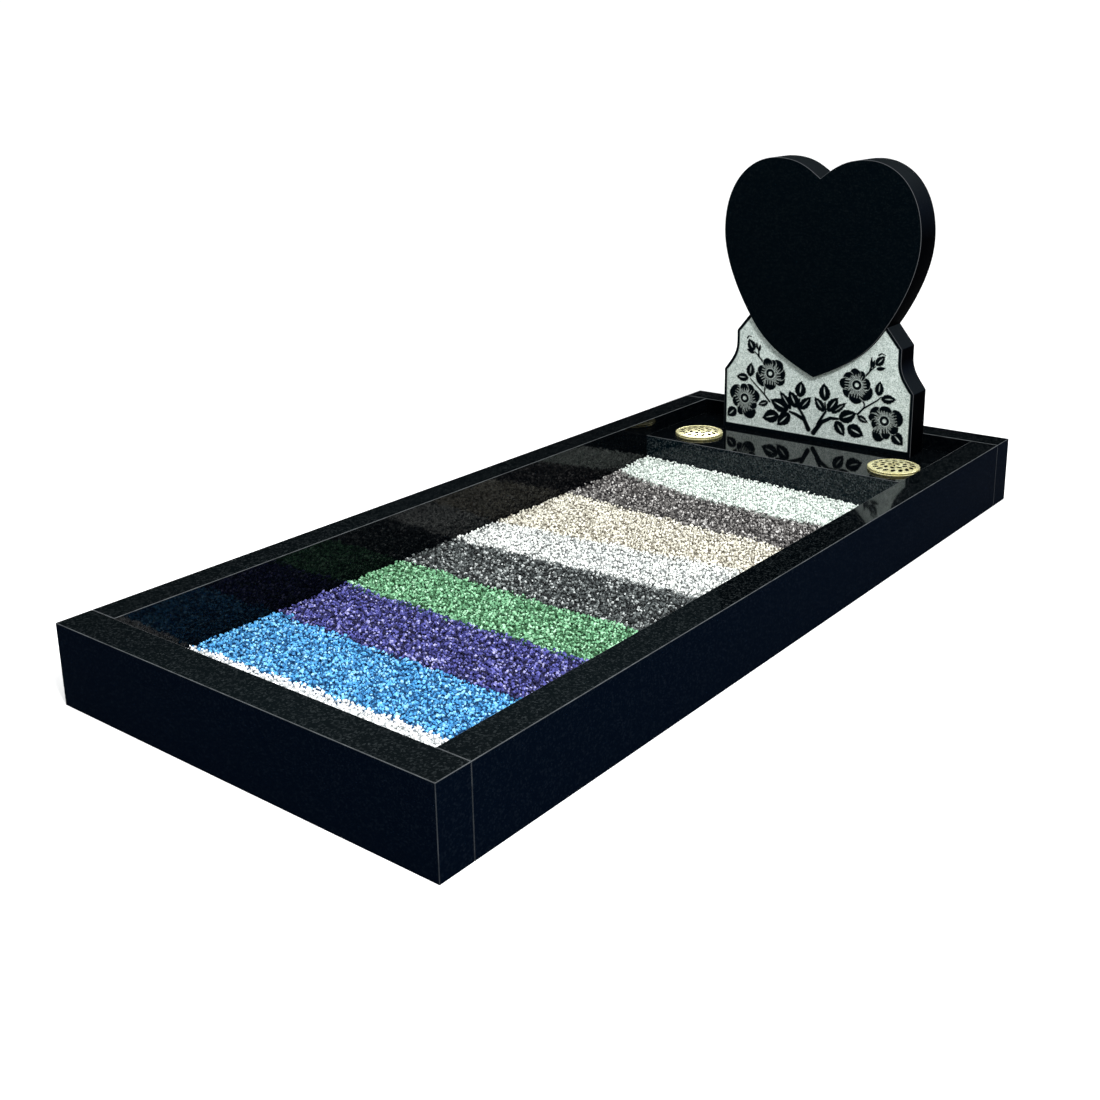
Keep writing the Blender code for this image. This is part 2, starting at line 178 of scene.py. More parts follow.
def grid_faces(rows, columns, wrap=False):
    """The quads between neighbours on a grid of rows by columns, the columns in a ring if wrapped."""
    row, column = np.meshgrid(np.arange(rows - 1), np.arange(columns if wrap else columns - 1),
                              indexing="ij")
    after = (column + 1) % columns
    corners = [row * columns + column, row * columns + after,
               (row + 1) * columns + after, (row + 1) * columns + column]
    return np.stack(corners, axis=-1).reshape(-1, 4)


def closed_surface(rings, first, last):
    """Joins rings of points with quads and draws the first and the last ring to a point each.

    The rings are an array of shape (rings, points, 3). Seen from outside, the points of a ring
    run to the right while the rings run upwards, so the faces look outwards.
    """
    count, around = rings.shape[:2]
    points = np.concatenate([rings.reshape(-1, 3), [first, last]])
    here = np.arange(around)
    after = (here + 1) % around
    start = np.stack([after, here, np.full(around, count * around)], axis=-1)
    end = np.stack([here, after, np.full(around, count * around + 1)], axis=-1)
    end[:, :2] += (count - 1) * around
    return points, grid_faces(count, around, wrap=True).tolist() + start.tolist() + end.tolist()


# %% Material helpers
class Tree:
    """Short ways to add nodes to the tree of a world or a material."""

    def __init__(self, owner):
        owner.use_nodes = True
        self.nodes, self.links = owner.node_tree.nodes, owner.node_tree.links

    def give(self, made, inputs):
        """Sets a node's inputs, by name or number, and links those whose value is a socket."""
        for name, value in inputs.items():
            if isinstance(value, bpy.types.NodeSocket):
                self.links.new(value, made.inputs[name])
            else:
                made.inputs[name].default_value = value

    def add(self, kind, output, inputs=None, **settings):
        """Adds a node with its properties and inputs, and returns one of its outputs."""
        made = self.nodes.new("ShaderNode" + kind)
        for name, value in settings.items():
            setattr(made, name, value)
        self.give(made, inputs or {})
        return made.outputs[output]

    def ramp(self, source, stops):
        """A colour ramp through (place, colour) stops."""
        made = self.nodes.new("ShaderNodeValToRGB")
        self.give(made, {"Fac": source})
        elements = made.color_ramp.elements
        while len(elements) < len(stops):
            elements.new(1)
        for element, (place, colour) in zip(elements, stops):
            element.position = place
            element.color = (*colour, 1)
        return made.outputs["Color"]

    def place(self):
        """Where a point lies, in its object's own coordinates."""
        return self.add("TexCoord", "Object")

    def mark(self, name):
        """The number that a vertex attribute holds."""
        return self.add("Attribute", "Fac", attribute_name=name)

    def upward(self, normal):
        """How far a face looks up, by the geometry's normal of that name."""
        return self.add("SeparateXYZ", "Z", {"Vector": self.add("NewGeometry", normal)})

    def noise(self, place, scale, detail=2.0):
        """Cloudy noise from 0 to 1."""
        return self.add("TexNoise", "Fac", {"Vector": place, "Scale": scale, "Detail": detail})

    def mix(self, share, one, other, blend="MIX"):
        """Two colours, mixed or blended by a share."""
        return self.add("Mix", "Result", {"Factor": share, "A": one, "B": other},
                        data_type="RGBA", blend_type=blend)

    def scaled(self, value, low, high, start=0.0, end=1.0):
        """A value carried over from the range start to end onto the range low to high."""
        return self.add("MapRange", "Result", {"Value": value, "From Min": start, "From Max": end,
                                               "To Min": low, "To Max": high})

    def reckon(self, operation, *terms, clamp=False):
        """Arithmetic on numbers or sockets, such as MULTIPLY_ADD, which is a b + c."""
        return self.add("Math", "Value", dict(enumerate(terms)), operation=operation, use_clamp=clamp)

    def bump(self, strength, distance, height):
        """The normal of a surface with fine unevenness."""
        return self.add("Bump", "Normal", {"Strength": strength, "Distance": distance, "Height": height})


class Finish(Tree):
    """A material with a Principled shader, whose own sockets take the settings."""

    def __init__(self, name, **settings):
        self.material = bpy.data.materials.new(name)
        super().__init__(self.material)
        self.wear(**settings)

    def wear(self, **settings):
        """Sets or links the shader's sockets, whose spaces are written as underlines."""
        self.give(self.nodes["Principled BSDF"],
                  {socket.replace("_", " "): value for socket, value in settings.items()})


# %% Floor
FLOOR_MIDDLE = 1.0
FLOOR_FLAT = 6.5
FLOOR_RADIUS = 11.0
FLOOR_RISE = 2.4
FLOOR_RINGS = 25
FLOOR_SIDES = 96

distance = np.concatenate([[FLOOR_MIDDLE], np.linspace(FLOOR_FLAT, FLOOR_RADIUS, FLOOR_RINGS)])
turn = np.linspace(0, 2 * math.pi, FLOOR_SIDES, endpoint=False)
rise = FLOOR_RISE * np.clip((distance - FLOOR_FLAT) / (FLOOR_RADIUS - FLOOR_FLAT), 0, 1) ** 2
dish = np.stack([distance[:, None] * np.cos(turn), distance[:, None] * np.sin(turn),
                 np.repeat(rise[:, None], len(turn), axis=1)], axis=-1)
dish_faces = [list(range(len(turn)))] + grid_faces(*dish.shape[:2], wrap=True)[:, ::-1].tolist()
floor = new_object("floor", dish.reshape(-1, 3), dish_faces, smooth=True)
paint = Finish("pale_floor", Roughness=0.9, Specular_IOR_Level=0.1)
paint.wear(Base_Color=paint.ramp(paint.noise(paint.place(), 3.0),
                                 [(0.3, (0.92, 0.92, 0.92)), (0.7, (0.94, 0.94, 0.94))]))
dress(floor, [paint.material])

# %% Light
# Sky: the sine of the height over the horizon, and the colour there
SKY = ((0.27, (0.003, 0.004, 0.005)), (0.37, (0.028, 0.042, 0.046)), (0.44, (0.085, 0.130, 0.145)),
       (0.50, (0.120, 0.160, 0.175)), (0.66, (1.65, 1.65, 1.65)))

world = bpy.data.worlds.new("studio")
bpy.context.scene.world = world
sky = Tree(world)
height = sky.add("SeparateXYZ", "Z", {"Vector": sky.add("TexCoord", "Generated")})
sky.give(sky.nodes["Background"], {"Color": sky.ramp(height, SKY)})


def soft_box(name, place, target, size, power):
    """An area light of a width and a height at a place, looking at a target."""
    light = bpy.data.lights.new(name, "AREA")
    light.shape = "RECTANGLE"
    light.size, light.size_y = size
    light.energy = power
    lamp = bpy.data.objects.new(name, light)
    lamp.location = place
    look = Vector(target) - lamp.location
    lamp.rotation_euler = look.to_track_quat("-Z", "Y").to_euler()
    bpy.context.scene.collection.objects.link(lamp)
    return lamp


soft_box("key_light", place=(2.9, -1.9, 3.6), target=(0, 0, 0.1), size=(0.9, 0.9), power=300)
lid_panel = soft_box("lid_panel", place=(-4.7, 9.55, 6.6), target=(0, 0.72, 0.12), size=(4.5, 2.2), power=420)
lid_panel.visible_camera = False
bpy.context.scene.view_settings.view_transform = "Standard"

# %% [markdown]
# ## Polished black granite
#
# The stone is a fine black granite: nearly black, with tiny greyish crystals, sawn and polished.
# A mirror this dark gives back little of what stands in front of it, and more at a flat angle,
# which is what a low specular level does. The tops and the faces towards the bed keep that
# polish. The outer faces stand against a floor that is much paler here than any ground, so theirs
# is set lower still, or they would turn grey. A level that is the same all over is set on the
# shader's own socket, so each kind of face has its own material. Each material also has its own
# base colour and crystals, lighter or darker by kind of face: painted light and shade for how the
# light falls there. Along every edge the narrow arris is rougher, and a thin paler line is painted
# on it as its highlight, lighter where it looks up: a vertex attribute says where it is.

# %% Granite
# Finish: specular level, base colour, and the colour that the palest crystals add; both colours differ by
# kind of face as painted light and shade
FACE_FINISHES_AND_PAINTED_SHADE = {
    "outer": (0.0004, (0.0004, 0.0014, 0.0037), (0.0020, 0.0026, 0.0034)),
    "top": (0.12, (0.0005, 0.0010, 0.0014), (0.0140, 0.0165, 0.0172)),
    "inner": (0.22, (0.0002, 0.0006, 0.0012), (0.0040, 0.0048, 0.0048)),
    "plinth_front": (0.20, (0.0006, 0.0036, 0.0056), (0.0440, 0.0490, 0.0500)),
    "plinth_top": (0.19, (0.0004, 0.0008, 0.0012), (0.0060, 0.0072, 0.0075)),
    "slab": (0.0004, (0.0005, 0.0016, 0.0026), (0.0024, 0.0028, 0.0028)),
}
# The painted highlight of the arris: on faces that stand upright, and on faces that look up
ARRIS_HIGHLIGHT_UPRIGHT = (0.024, 0.027, 0.030)
ARRIS_HIGHLIGHT_LEVEL = (0.070, 0.077, 0.081)
ARRIS_ROUGHNESS = 0.4
CRYSTAL_SCALE = 340.0
HIGHLIGHT_PATCH_SCALE = 40.0
SMEAR_SCALE = 9.0


def granite_colour(finish, place, base, crystals):
    """Near black with fine paler crystals, and a painted highlight line where the attribute `arris` is 1,
    lighter where it looks up.
    """
    crystal = finish.add("TexVoronoi", "Color", {"Vector": place, "Scale": CRYSTAL_SCALE})
    sparkle = finish.ramp(crystal, [(0.58, (0, 0, 0)), (1.0, crystals)])
    stone = finish.mix(1.0, (*base, 1), sparkle, "ADD")
    painted_arris_highlight = finish.ramp(finish.upward("True Normal"), [(0.15, ARRIS_HIGHLIGHT_UPRIGHT), (0.6, ARRIS_HIGHLIGHT_LEVEL)])
    edge = finish.mark("arris")
    # Noise breaks the painted highlight into patches
    patchy_highlight = finish.scaled(finish.noise(place, HIGHLIGHT_PATCH_SCALE, 5.0), 0.45, 1.0, start=0.3, end=0.6)
    return finish.mix(finish.reckon("MULTIPLY", edge, patchy_highlight), stone, painted_arris_highlight), edge


def make_granite(name):
    """One finish of the kerbs and the plinth: its colour, with the painted light and shade of its kind of
    face, and a polish with faint smears.
    """
    level, base, crystals = FACE_FINISHES_AND_PAINTED_SHADE[name]
    finish = Finish("black_granite_" + name, Specular_IOR_Level=level)
    place = finish.place()
    colour, edge = granite_colour(finish, place, base, crystals)
    polish = finish.scaled(finish.noise(place, SMEAR_SCALE, 4.0), 0.02, 0.07)
    finish.wear(Base_Color=colour, Roughness=finish.reckon("MULTIPLY_ADD", edge, ARRIS_ROUGHNESS, polish))
    return finish.material


granite = {name: make_granite(name) for name in FACE_FINISHES_AND_PAINTED_SHADE if name != "slab"}
print("granite finishes:", ", ".join(granite))

# %% [markdown]
# ## Kerbs and plinth
#
# A sawn block could be a cube with a Bevel modifier. Here it is worked out: each face of a cube
# carries a small grid, whose directions are pushed out by the arris radius from the corners of a
# smaller box. The flat faces stay single quads and are shaded flat, so that they mirror like a
# true plane, and only the edges and corners between them are shaded round.

# %% Blocks with a round arris
ARRIS_STEPS = 3
ARRIS_FADE = 0.03


def block(name, low, high, inner, inner_finish="inner", top_finish="top"):
    """A closed block between two corners, its edges and corners rounded by the arris.

    On each face the two free directions run over angles from -45 to 45 degrees. The direction
    (tan a, tan b, 1) is made of length one. A point is the corner of the inner box on the side
    of its angles, plus the arris times that direction. `inner` names the face, by its axis and
    sign, that has a finish of its own.
    """
    low, high = np.array(low), np.array(high)
    half = np.linspace(-math.pi / 4, 0, ARRIS_STEPS + 1)
    angle = np.concatenate([half, half + math.pi / 4])
    side = np.repeat([-1.0, 1.0], ARRIS_STEPS + 1)
    count = len(angle)
    points, faces, arris, finish = [], [], [], []
    round_face = np.ones((count - 1, count - 1), bool)
    round_face[ARRIS_STEPS, ARRIS_STEPS] = False
    for axis in range(3):
        for sign in (-1, 1):
            toward, corner = np.zeros((count, count, 3)), np.zeros((count, count, 3))
            one, two = (axis + 1) % 3, (axis + 2) % 3
            toward[..., axis] = corner[..., axis] = sign
            toward[..., one], corner[..., one] = np.tan(angle)[:, None], side[:, None]
            toward[..., two], corner[..., two] = np.tan(angle)[None, :], side[None, :]
            toward /= np.linalg.norm(toward, axis=-1, keepdims=True)
            place = (low + high) / 2 + corner * ((high - low) / 2 - ARRIS) + ARRIS * toward
            quads = grid_faces(count, count) + len(points) * count * count
            faces += (quads if sign < 0 else quads[:, ::-1]).tolist()
            points.append(place.reshape(-1, 3))
            arris.append(np.clip((1 - np.abs(toward).max(-1)) / ARRIS_FADE, 0, 1).ravel())
            # Each face takes the material of its kind, whose colours carry that face's painted light and
            # shade
            finish += [2 if (axis, sign) == inner else int((axis, sign) == (2, 1))] * len(quads)
    obj = new_object(name, np.concatenate(points), faces, smooth=np.tile(round_face.ravel(), 6))
    mark_points(obj, "arris", np.concatenate(arris))
    dress(obj, [granite[used] for used in ("outer", top_finish, inner_finish)], finish)
    weld(obj)
    return obj


def weld(obj, distance=0.00001):
    """Joins the doubled points along seams and turns all faces outwards."""
    bm = bmesh.new()
    bm.from_mesh(obj.data)
    bmesh.ops.remove_doubles(bm, verts=bm.verts, dist=distance)
    bmesh.ops.recalc_face_normals(bm, faces=bm.faces)
    bm.to_mesh(obj.data)
    bm.free()


def keep(obj, slot, *replaced):
    """Fixes a finished piece to the memorial: its body, and the nodes it stands for. The slot is not used."""
    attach(obj, "root")
    if replaced:
        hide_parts(*replaced)
    print(f"{obj.name}: {sum(len(face.vertices) - 2 for face in obj.data.polygons)} triangles")


# The face of each kerb that looks at the bed, as its axis and sign
BED_FACES = {"front_kerb": (1, 1), "back_kerb": (1, -1), "left_kerb": (0, 1), "right_kerb": (0, -1)}

for kerb, bed_face in BED_FACES.items():
    keep(block("stone_" + kerb, *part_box(kerb), bed_face), "granite", kerb)
plinth = block("stone_plinth", plinth_low, plinth_high, (1, -1), "plinth_front", "plinth_top")
keep(plinth, "granite", "plinth")

# %% [markdown]
# ## The heart
#
# The outline is a chain of cubic curves through the tip, a knee, the widest point, the top of the
# lobe and the notch. The slab is that outline carried through its thickness: it is drawn in a
# little at the front and the back for the arris, and then down to one point in the middle of each
# flat face, which every point of a heart can see.

# %% Outlines
def polar(centre, length, degrees):
    """A point at a distance and an angle from another."""
    angle = math.radians(degrees)
    return (centre[0] + length * math.cos(angle), centre[1] + length * math.sin(angle))


def mirrored(half):
    """Closes an outline that is given for the right half, from its lowest point to its highest."""
    other = [tuple((-x, z) for x, z in (place, after, before)) for place, before, after in reversed(half)]
    if half[-1][0][0] == 0:
        other = other[1:]
    if half[0][0][0] == 0:
        other = other[:-1]
    return half + other


def curve_points(knots, steps):
    """Points of a closed chain of cubics, (1-t)^3 a + 3(1-t)^2 t b + 3(1-t) t^2 c + t^3 d."""
    place, before, after = (np.array(column) for column in zip(*knots))
    t = (np.arange(steps) / steps)[None, :, None]
    a, b = place[:, None], after[:, None]
    c, d = np.roll(before, -1, axis=0)[:, None], np.roll(place, -1, axis=0)[:, None]
    cubic = (1 - t) ** 3 * a + 3 * (1 - t) ** 2 * t * b + 3 * (1 - t) * t ** 2 * c + t ** 3 * d
    return cubic.reshape(-1, 2)


def heart_knots():
    """The heart as shares of its half width and its height: place, handle before, handle after."""
    wide, tall = HEART_WIDTH / 2, HEART_RISE
    foot = STONE_FOOT + HEART_TIP_HEIGHT
    tip, notch = (0, foot), (0, foot + 0.912 * tall)
    knee = (0.645 * wide, foot + 0.221 * tall)
    side = (wide, foot + 0.662 * tall)
    lobe = (0.453 * wide, foot + tall)
    tip_out, notch_out = polar(tip, 0.116 * tall, 24), polar(notch, 0.082 * tall, 38)
    return mirrored([
        (tip, (-tip_out[0], tip_out[1]), tip_out),
        (knee, polar(knee, -0.137 * tall, 54.4), polar(knee, 0.091 * tall, 54.4)),
        (side, (wide, side[1] - 0.175 * tall), (wide, side[1] + 0.221 * tall)),
        (lobe, (lobe[0] + 0.286 * wide, lobe[1]), (lobe[0] - 0.214 * wide, lobe[1])),
        (notch, notch_out, (-notch_out[0], notch_out[1])),
    ])


def shrunk(outline, inset):
    """The outline moved inwards: each point goes along the mean normal of its two sides."""
    side = np.roll(outline, -1, axis=0) - outline
    side /= np.linalg.norm(side, axis=1, keepdims=True)
    inward = np.stack([-side[:, 1], side[:, 0]], axis=1)
    mean = inward + np.roll(inward, 1, axis=0)
    mean /= np.linalg.norm(mean, axis=1, keepdims=True)
    widen = np.clip((mean * inward).sum(axis=1, keepdims=True), 0.4, 1)
    return outline + mean * inset / widen


# %% Heart
HEART_STEPS = 40
HEART_MIDDLE = 0.56


def heart_slab():
    """The heart's closed surface: its points, its faces, and how far each point is on an arris."""
    outline = curve_points(heart_knots(), HEART_STEPS)
    front, back = PLATE_FACE - HEART_PROUD, STONE_BACK
    angle = np.linspace(0, math.pi / 2, ARRIS_STEPS + 1)
    inset = ARRIS * (1 - np.sin(angle))
    depth = ARRIS * (1 - np.cos(angle))
    insets = np.concatenate([inset, inset[::-1]])
    depths = np.concatenate([back - depth, front + depth[::-1]])
    rings = []
    for step, y in zip(insets, depths):
        ring = shrunk(outline, step)
        rings.append(np.stack([ring[:, 0], np.full(len(ring), y), ring[:, 1]], axis=-1))
    middle = STONE_FOOT + HEART_TIP_HEIGHT + HEART_MIDDLE * HEART_RISE
    points, faces = closed_surface(np.array(rings), (0, back, middle), (0, front, middle))
    on_arris = np.zeros(len(insets))
    on_arris[1:ARRIS_STEPS] = on_arris[ARRIS_STEPS + 2:-1] = 1
    return points, faces, np.concatenate([np.repeat(on_arris, len(outline)), [0, 0]])


heart_points, heart_faces, heart_arris = heart_slab()
print(f"heart: {len(heart_points)} points")

# %% [markdown]
# ## The carved plate
#
# Below the heart the slab is a shouldered plate. Its front is blasted down to a pale, grainy
# ground, and two sprays of flowers are left standing in the polished black. That is a relief, so
# the plate's front is a fine grid, and each point asks how deep the carving is there. Leaves,
# petals and stems are written as formulas for how far inside the shape a point lies.

# %% Sprays
# Leaves: base x and z, tip x and z, and width, on the face of the plate above its foot
LEAVES = (
    (-0.040, 0.106, -0.036, 0.148, 0.024), (-0.038, 0.076, -0.008, 0.111, 0.019),
    (-0.047, 0.078, -0.069, 0.119, 0.024), (-0.063, 0.072, -0.096, 0.115, 0.016),
    (-0.070, 0.068, -0.122, 0.089, 0.027), (-0.066, 0.060, -0.101, 0.025, 0.025),
    (-0.097, 0.053, -0.144, 0.037, 0.027), (-0.128, 0.081, -0.157, 0.070, 0.013),
    (-0.182, 0.140, -0.179, 0.177, 0.019), (-0.186, 0.136, -0.222, 0.136, 0.017),
    (-0.221, 0.052, -0.246, 0.028, 0.022), (-0.172, 0.208, -0.188, 0.237, 0.019),
    (0.030, 0.106, 0.025, 0.151, 0.024), (0.028, 0.079, 0.001, 0.113, 0.018),
    (0.038, 0.081, 0.065, 0.120, 0.021), (0.049, 0.078, 0.088, 0.110, 0.013),
    (0.069, 0.066, 0.115, 0.088, 0.026), (0.060, 0.060, 0.085, 0.025, 0.022),
    (0.092, 0.050, 0.136, 0.034, 0.027), (0.117, 0.081, 0.146, 0.068, 0.013),
    (0.169, 0.138, 0.172, 0.175, 0.018), (0.176, 0.131, 0.215, 0.135, 0.018),
    (0.209, 0.053, 0.237, 0.026, 0.024), (0.159, 0.211, 0.181, 0.236, 0.016),
)
# Small leaflets round the buds, without a vein
SEPALS = (
    (-0.170, 0.202, -0.193, 0.210, 0.008), (-0.162, 0.212, -0.166, 0.230, 0.005),
    (-0.157, 0.208, -0.154, 0.226, 0.006), (0.147, 0.202, 0.147, 0.230, 0.006),
    (0.151, 0.204, 0.155, 0.224, 0.007), (0.160, 0.202, 0.184, 0.207, 0.008),
)
# Stems: the width at the start, then the points
STEMS = (
    (0.009, ((-0.013, 0.028), (-0.025, 0.051), (-0.050, 0.061), (-0.066, 0.065))),
    (0.006, ((-0.025, 0.055), (-0.035, 0.070), (-0.043, 0.078), (-0.039, 0.102))),
    (0.004, ((-0.124, 0.083), (-0.142, 0.102), (-0.166, 0.122), (-0.181, 0.135))),
    (0.004, ((-0.137, 0.172), (-0.149, 0.186), (-0.160, 0.197), (-0.170, 0.206))),
    (0.004, ((-0.137, 0.122), (-0.139, 0.110), (-0.138, 0.100))),
    (0.004, ((-0.158, 0.195), (-0.158, 0.206), (-0.164, 0.228))),
    (0.009, ((0.001, 0.021), (0.022, 0.051), (0.046, 0.065), (0.066, 0.066))),
    (0.006, ((0.012, 0.044), (0.024, 0.066), (0.033, 0.080), (0.030, 0.102))),
    (0.004, ((0.117, 0.085), (0.132, 0.102), (0.166, 0.126), (0.176, 0.136))),
    (0.004, ((0.127, 0.176), (0.136, 0.185), (0.147, 0.198), (0.158, 0.208))),
    (0.004, ((0.129, 0.121), (0.134, 0.112), (0.132, 0.102))),
    (0.004, ((0.144, 0.196), (0.148, 0.208), (0.147, 0.228))),
    (0.003, ((-0.192, 0.238), (-0.188, 0.244), (-0.180, 0.243))),
    (0.003, ((0.165, 0.236), (0.172, 0.241), (0.182, 0.238))),
)
# Flowers: the centre, then the petals as angle in degrees, reach and width
FLOWERS = (
    ((-0.124, 0.155), ((214, 0.045, 0.030), (270, 0.042, 0.024), (335, 0.045, 0.022), (6, 0.043, 0.024),
                       (46, 0.045, 0.024), (76, 0.037, 0.014), (108, 0.040, 0.019), (167, 0.037, 0.019))),
    ((-0.196, 0.082), ((153, 0.046, 0.029), (207, 0.038, 0.020), (253, 0.047, 0.017), (294, 0.055, 0.027),
                       (331, 0.040, 0.018), (18, 0.045, 0.024), (62, 0.042, 0.020), (95, 0.038, 0.017))),
    ((0.112, 0.157), ((222, 0.043, 0.024), (268, 0.047, 0.026), (325, 0.047, 0.028), (12, 0.036, 0.021),
                      (66, 0.038, 0.015), (102, 0.041, 0.020), (146, 0.041, 0.021), (179, 0.046, 0.020))),
    ((0.187, 0.079), ((145, 0.043, 0.025), (172, 0.042, 0.016), (208, 0.036, 0.019), (250, 0.056, 0.024),
                      (279, 0.045, 0.018), (325, 0.042, 0.020), (20, 0.049, 0.029), (86, 0.037, 0.023))),
)

# %% Carving formulas
EDGE_BLUR = 0.0012
TEETH = 5
TOOTH_DEPTH = 0.0006
TOOTH_SHIFT = 2
# An oval is given by how much wider it is than its width in the tables, the powers at its base
# and its tip, and its fullness
LEAF_SWELL, LEAF_POINT, LEAF_FULLNESS = 1.30, (0.7, 1.0), 0.82
SEPAL_SWELL, SEPAL_POINT, SEPAL_FULLNESS = 1.30, (0.8, 0.8), 0.8
PETAL_SWELL, PETAL_POINT, PETAL_FULLNESS = 1.42, (0.5, 0.5), 1.35
STEM_SWELL = 1.5
VEIN_START = 0.24
VEIN_END = 0.76
VEIN_WIDTH = 0.055
PETAL_START = 0.008
PETAL_GAP = 0.0008
PETAL_RIPPLE = 0.0005
RIPPLES = 900
EYE_RADIUS = 0.0125
EYE_CENTRE = 0.0050
EYE_GAP = 0.0013
HATCH_SPACING = 0.0034
HATCH_WIDTH = 0.0006
HATCH_THINNING = 0.00022
HATCH_START = 0.02
HATCH_END = 0.46
HATCH_STRAY = 0.16
HATCH_RIM = 0.001


def cover(inside):
    """Turns a distance inside a shape into 0 outside and 1 inside, soft over the edge blur."""
    return np.clip(0.5 + inside / EDGE_BLUR, 0, 1)


def along_and_across(x, z, base, tip):
    """The share of the way from base to tip, and the distance to the side of that line."""
    run = (tip[0] - base[0], tip[1] - base[1])
    length = math.hypot(*run)
    share = ((x - base[0]) * run[0] + (z - base[1]) * run[1]) / length ** 2
    across = ((z - base[1]) * run[0] - (x - base[0]) * run[1]) / length
    return share, across, length


def oval(x, z, base, tip, width, point, fullness):
    """Inside distance of a leaf: half its width times sin(pi s^fullness)^point, less the offset.

    `point` is the power at the base and at the tip: below 1 the end is blunt.
    """
    share, across, length = along_and_across(x, z, base, tip)
    within = np.clip(share, 0, 1)
    half = width / 2 * np.sin(math.pi * within ** fullness) ** (point[0] + (point[1] - point[0]) * within)
    beyond = np.maximum(np.maximum(-share, share - 1), 0) * length
    return half - np.abs(across) - beyond, within, across


def carve_leaf(level, x, z, leaf):
    """Leaves one leaf standing, with a finely toothed edge, and sinks the spindle of its vein."""
    base, tip, width = leaf[0:2], leaf[2:4], leaf[4]
    inside, share, across = oval(x, z, base, tip, LEAF_SWELL * width, LEAF_POINT, LEAF_FULLNESS)
    teeth = TOOTH_DEPTH * np.sin(2 * math.pi * TEETH * share + np.where(across > 0, 0, TOOTH_SHIFT))
    level = np.maximum(level, cover(inside + teeth))
    along = np.clip((share - VEIN_START) / (VEIN_END - VEIN_START), 0, 1)
    vein = VEIN_WIDTH * width * np.sin(math.pi * along) - np.abs(across)
    return level * (1 - cover(vein) * (along > 0) * (along < 1))


def carve_sepal(level, x, z, sepal):
    """Leaves one small leaflet standing."""
    inside, _, _ = oval(x, z, sepal[0:2], sepal[2:4], SEPAL_SWELL * sepal[4], SEPAL_POINT, SEPAL_FULLNESS)
    return np.maximum(level, cover(inside))


def carve_stem(level, x, z, width, points):
    """Leaves a stem standing: the distance to a chain of lines, under a width that tapers by half."""
    last = len(points) - 1
    for index, (start, end) in enumerate(zip(points, points[1:])):
        share, _, length = along_and_across(x, z, start, end)
        within = np.clip(share, 0, 1)
        away = np.hypot(x - start[0] - within * (end[0] - start[0]),
                        z - start[1] - within * (end[1] - start[1]))
        half = STEM_SWELL * width / 2 * (1 - 0.5 * (index + within) / last)
        level = np.maximum(level, cover(half - away))
    return level


def carve_flower(level, x, z, centre, petals):
    """Petals with pale hatching towards the eye, then the eye: a black ring round a pale spot."""
    radius = np.hypot(x - centre[0], z - centre[1])
    for angle, reach, width in petals:
        base, tip = polar(centre, PETAL_START, angle), polar(centre, reach, angle)
        wide = PETAL_SWELL * width
        rim, _, _ = oval(x, z, base, tip, wide + 2 * PETAL_GAP, PETAL_POINT, PETAL_FULLNESS)
        level = level * (1 - cover(rim))
        inside, share, across = oval(x, z, base, tip, wide, PETAL_POINT, PETAL_FULLNESS)
        level = np.maximum(level, cover(inside + PETAL_RIPPLE * np.sin(RIPPLES * across + angle)))
        hatch = np.cos(2 * math.pi * across / HATCH_SPACING) * HATCH_WIDTH - HATCH_THINNING
        fade = HATCH_END + HATCH_STRAY * np.cos(across * RIPPLES + angle)
        hatched = (share < fade) * (share > HATCH_START) * cover(inside - HATCH_RIM)
        level = level * (1 - cover(hatch) * hatched)
    level = level * (1 - cover(EYE_RADIUS + EYE_GAP - radius))
    level = np.maximum(level, cover(EYE_RADIUS - radius))
    return level * (1 - cover(EYE_CENTRE - radius))


def carving(x, z):
    """1 where the polished face still stands and 0 on the blasted ground, for arrays of points."""
    level = np.zeros_like(x)
    for width, points in STEMS:
        level = carve_stem(level, x, z, width, points)
    for leaf in LEAVES:
        level = carve_leaf(level, x, z, leaf)
    for sepal in SEPALS:
        level = carve_sepal(level, x, z, sepal)
    for centre, petals in FLOWERS:
        level = carve_flower(level, x, z, centre, petals)
    return level


# %% Plate
CELL = 0.00135
PANEL_MARGIN = 0.008
PANEL_FOOT = 0.012
PANEL_DEPTH = 0.0015
CARVED_HEIGHT = 0.262
COARSE_CELL = 0.006
FLUSH_GAP = 0.0001
SIDE_STEPS = 24


def plate_half_width(z):
    """Half the plate's width at heights z above its foot, and the slope of its side there."""
    half, waist = PLATE_WIDTH / 2, WAIST_WIDTH / 2
    shoulder, top = (half, SHOULDER_HEIGHT), (waist, WAIST_HEIGHT)
    neck = (waist, WAIST_HEIGHT + NECK_LENGTH)
    crown = (CROWN_ACROSS * HEART_WIDTH / 2, HEART_TIP_HEIGHT + CROWN_UP * HEART_RISE)
    sweep = WAIST_HEIGHT - SHOULDER_HEIGHT
    knots = [((half, 0),) * 3, (shoulder, shoulder, polar(shoulder, 0.40 * sweep, 125)),
             (top, (waist, top[1] - 0.45 * sweep), top), (neck,) * 3, (crown,) * 3]
    side = curve_points(knots, SIDE_STEPS)[:-SIDE_STEPS]
    width = np.interp(z, side[:, 1], side[:, 0])
    return width, np.gradient(width, z)


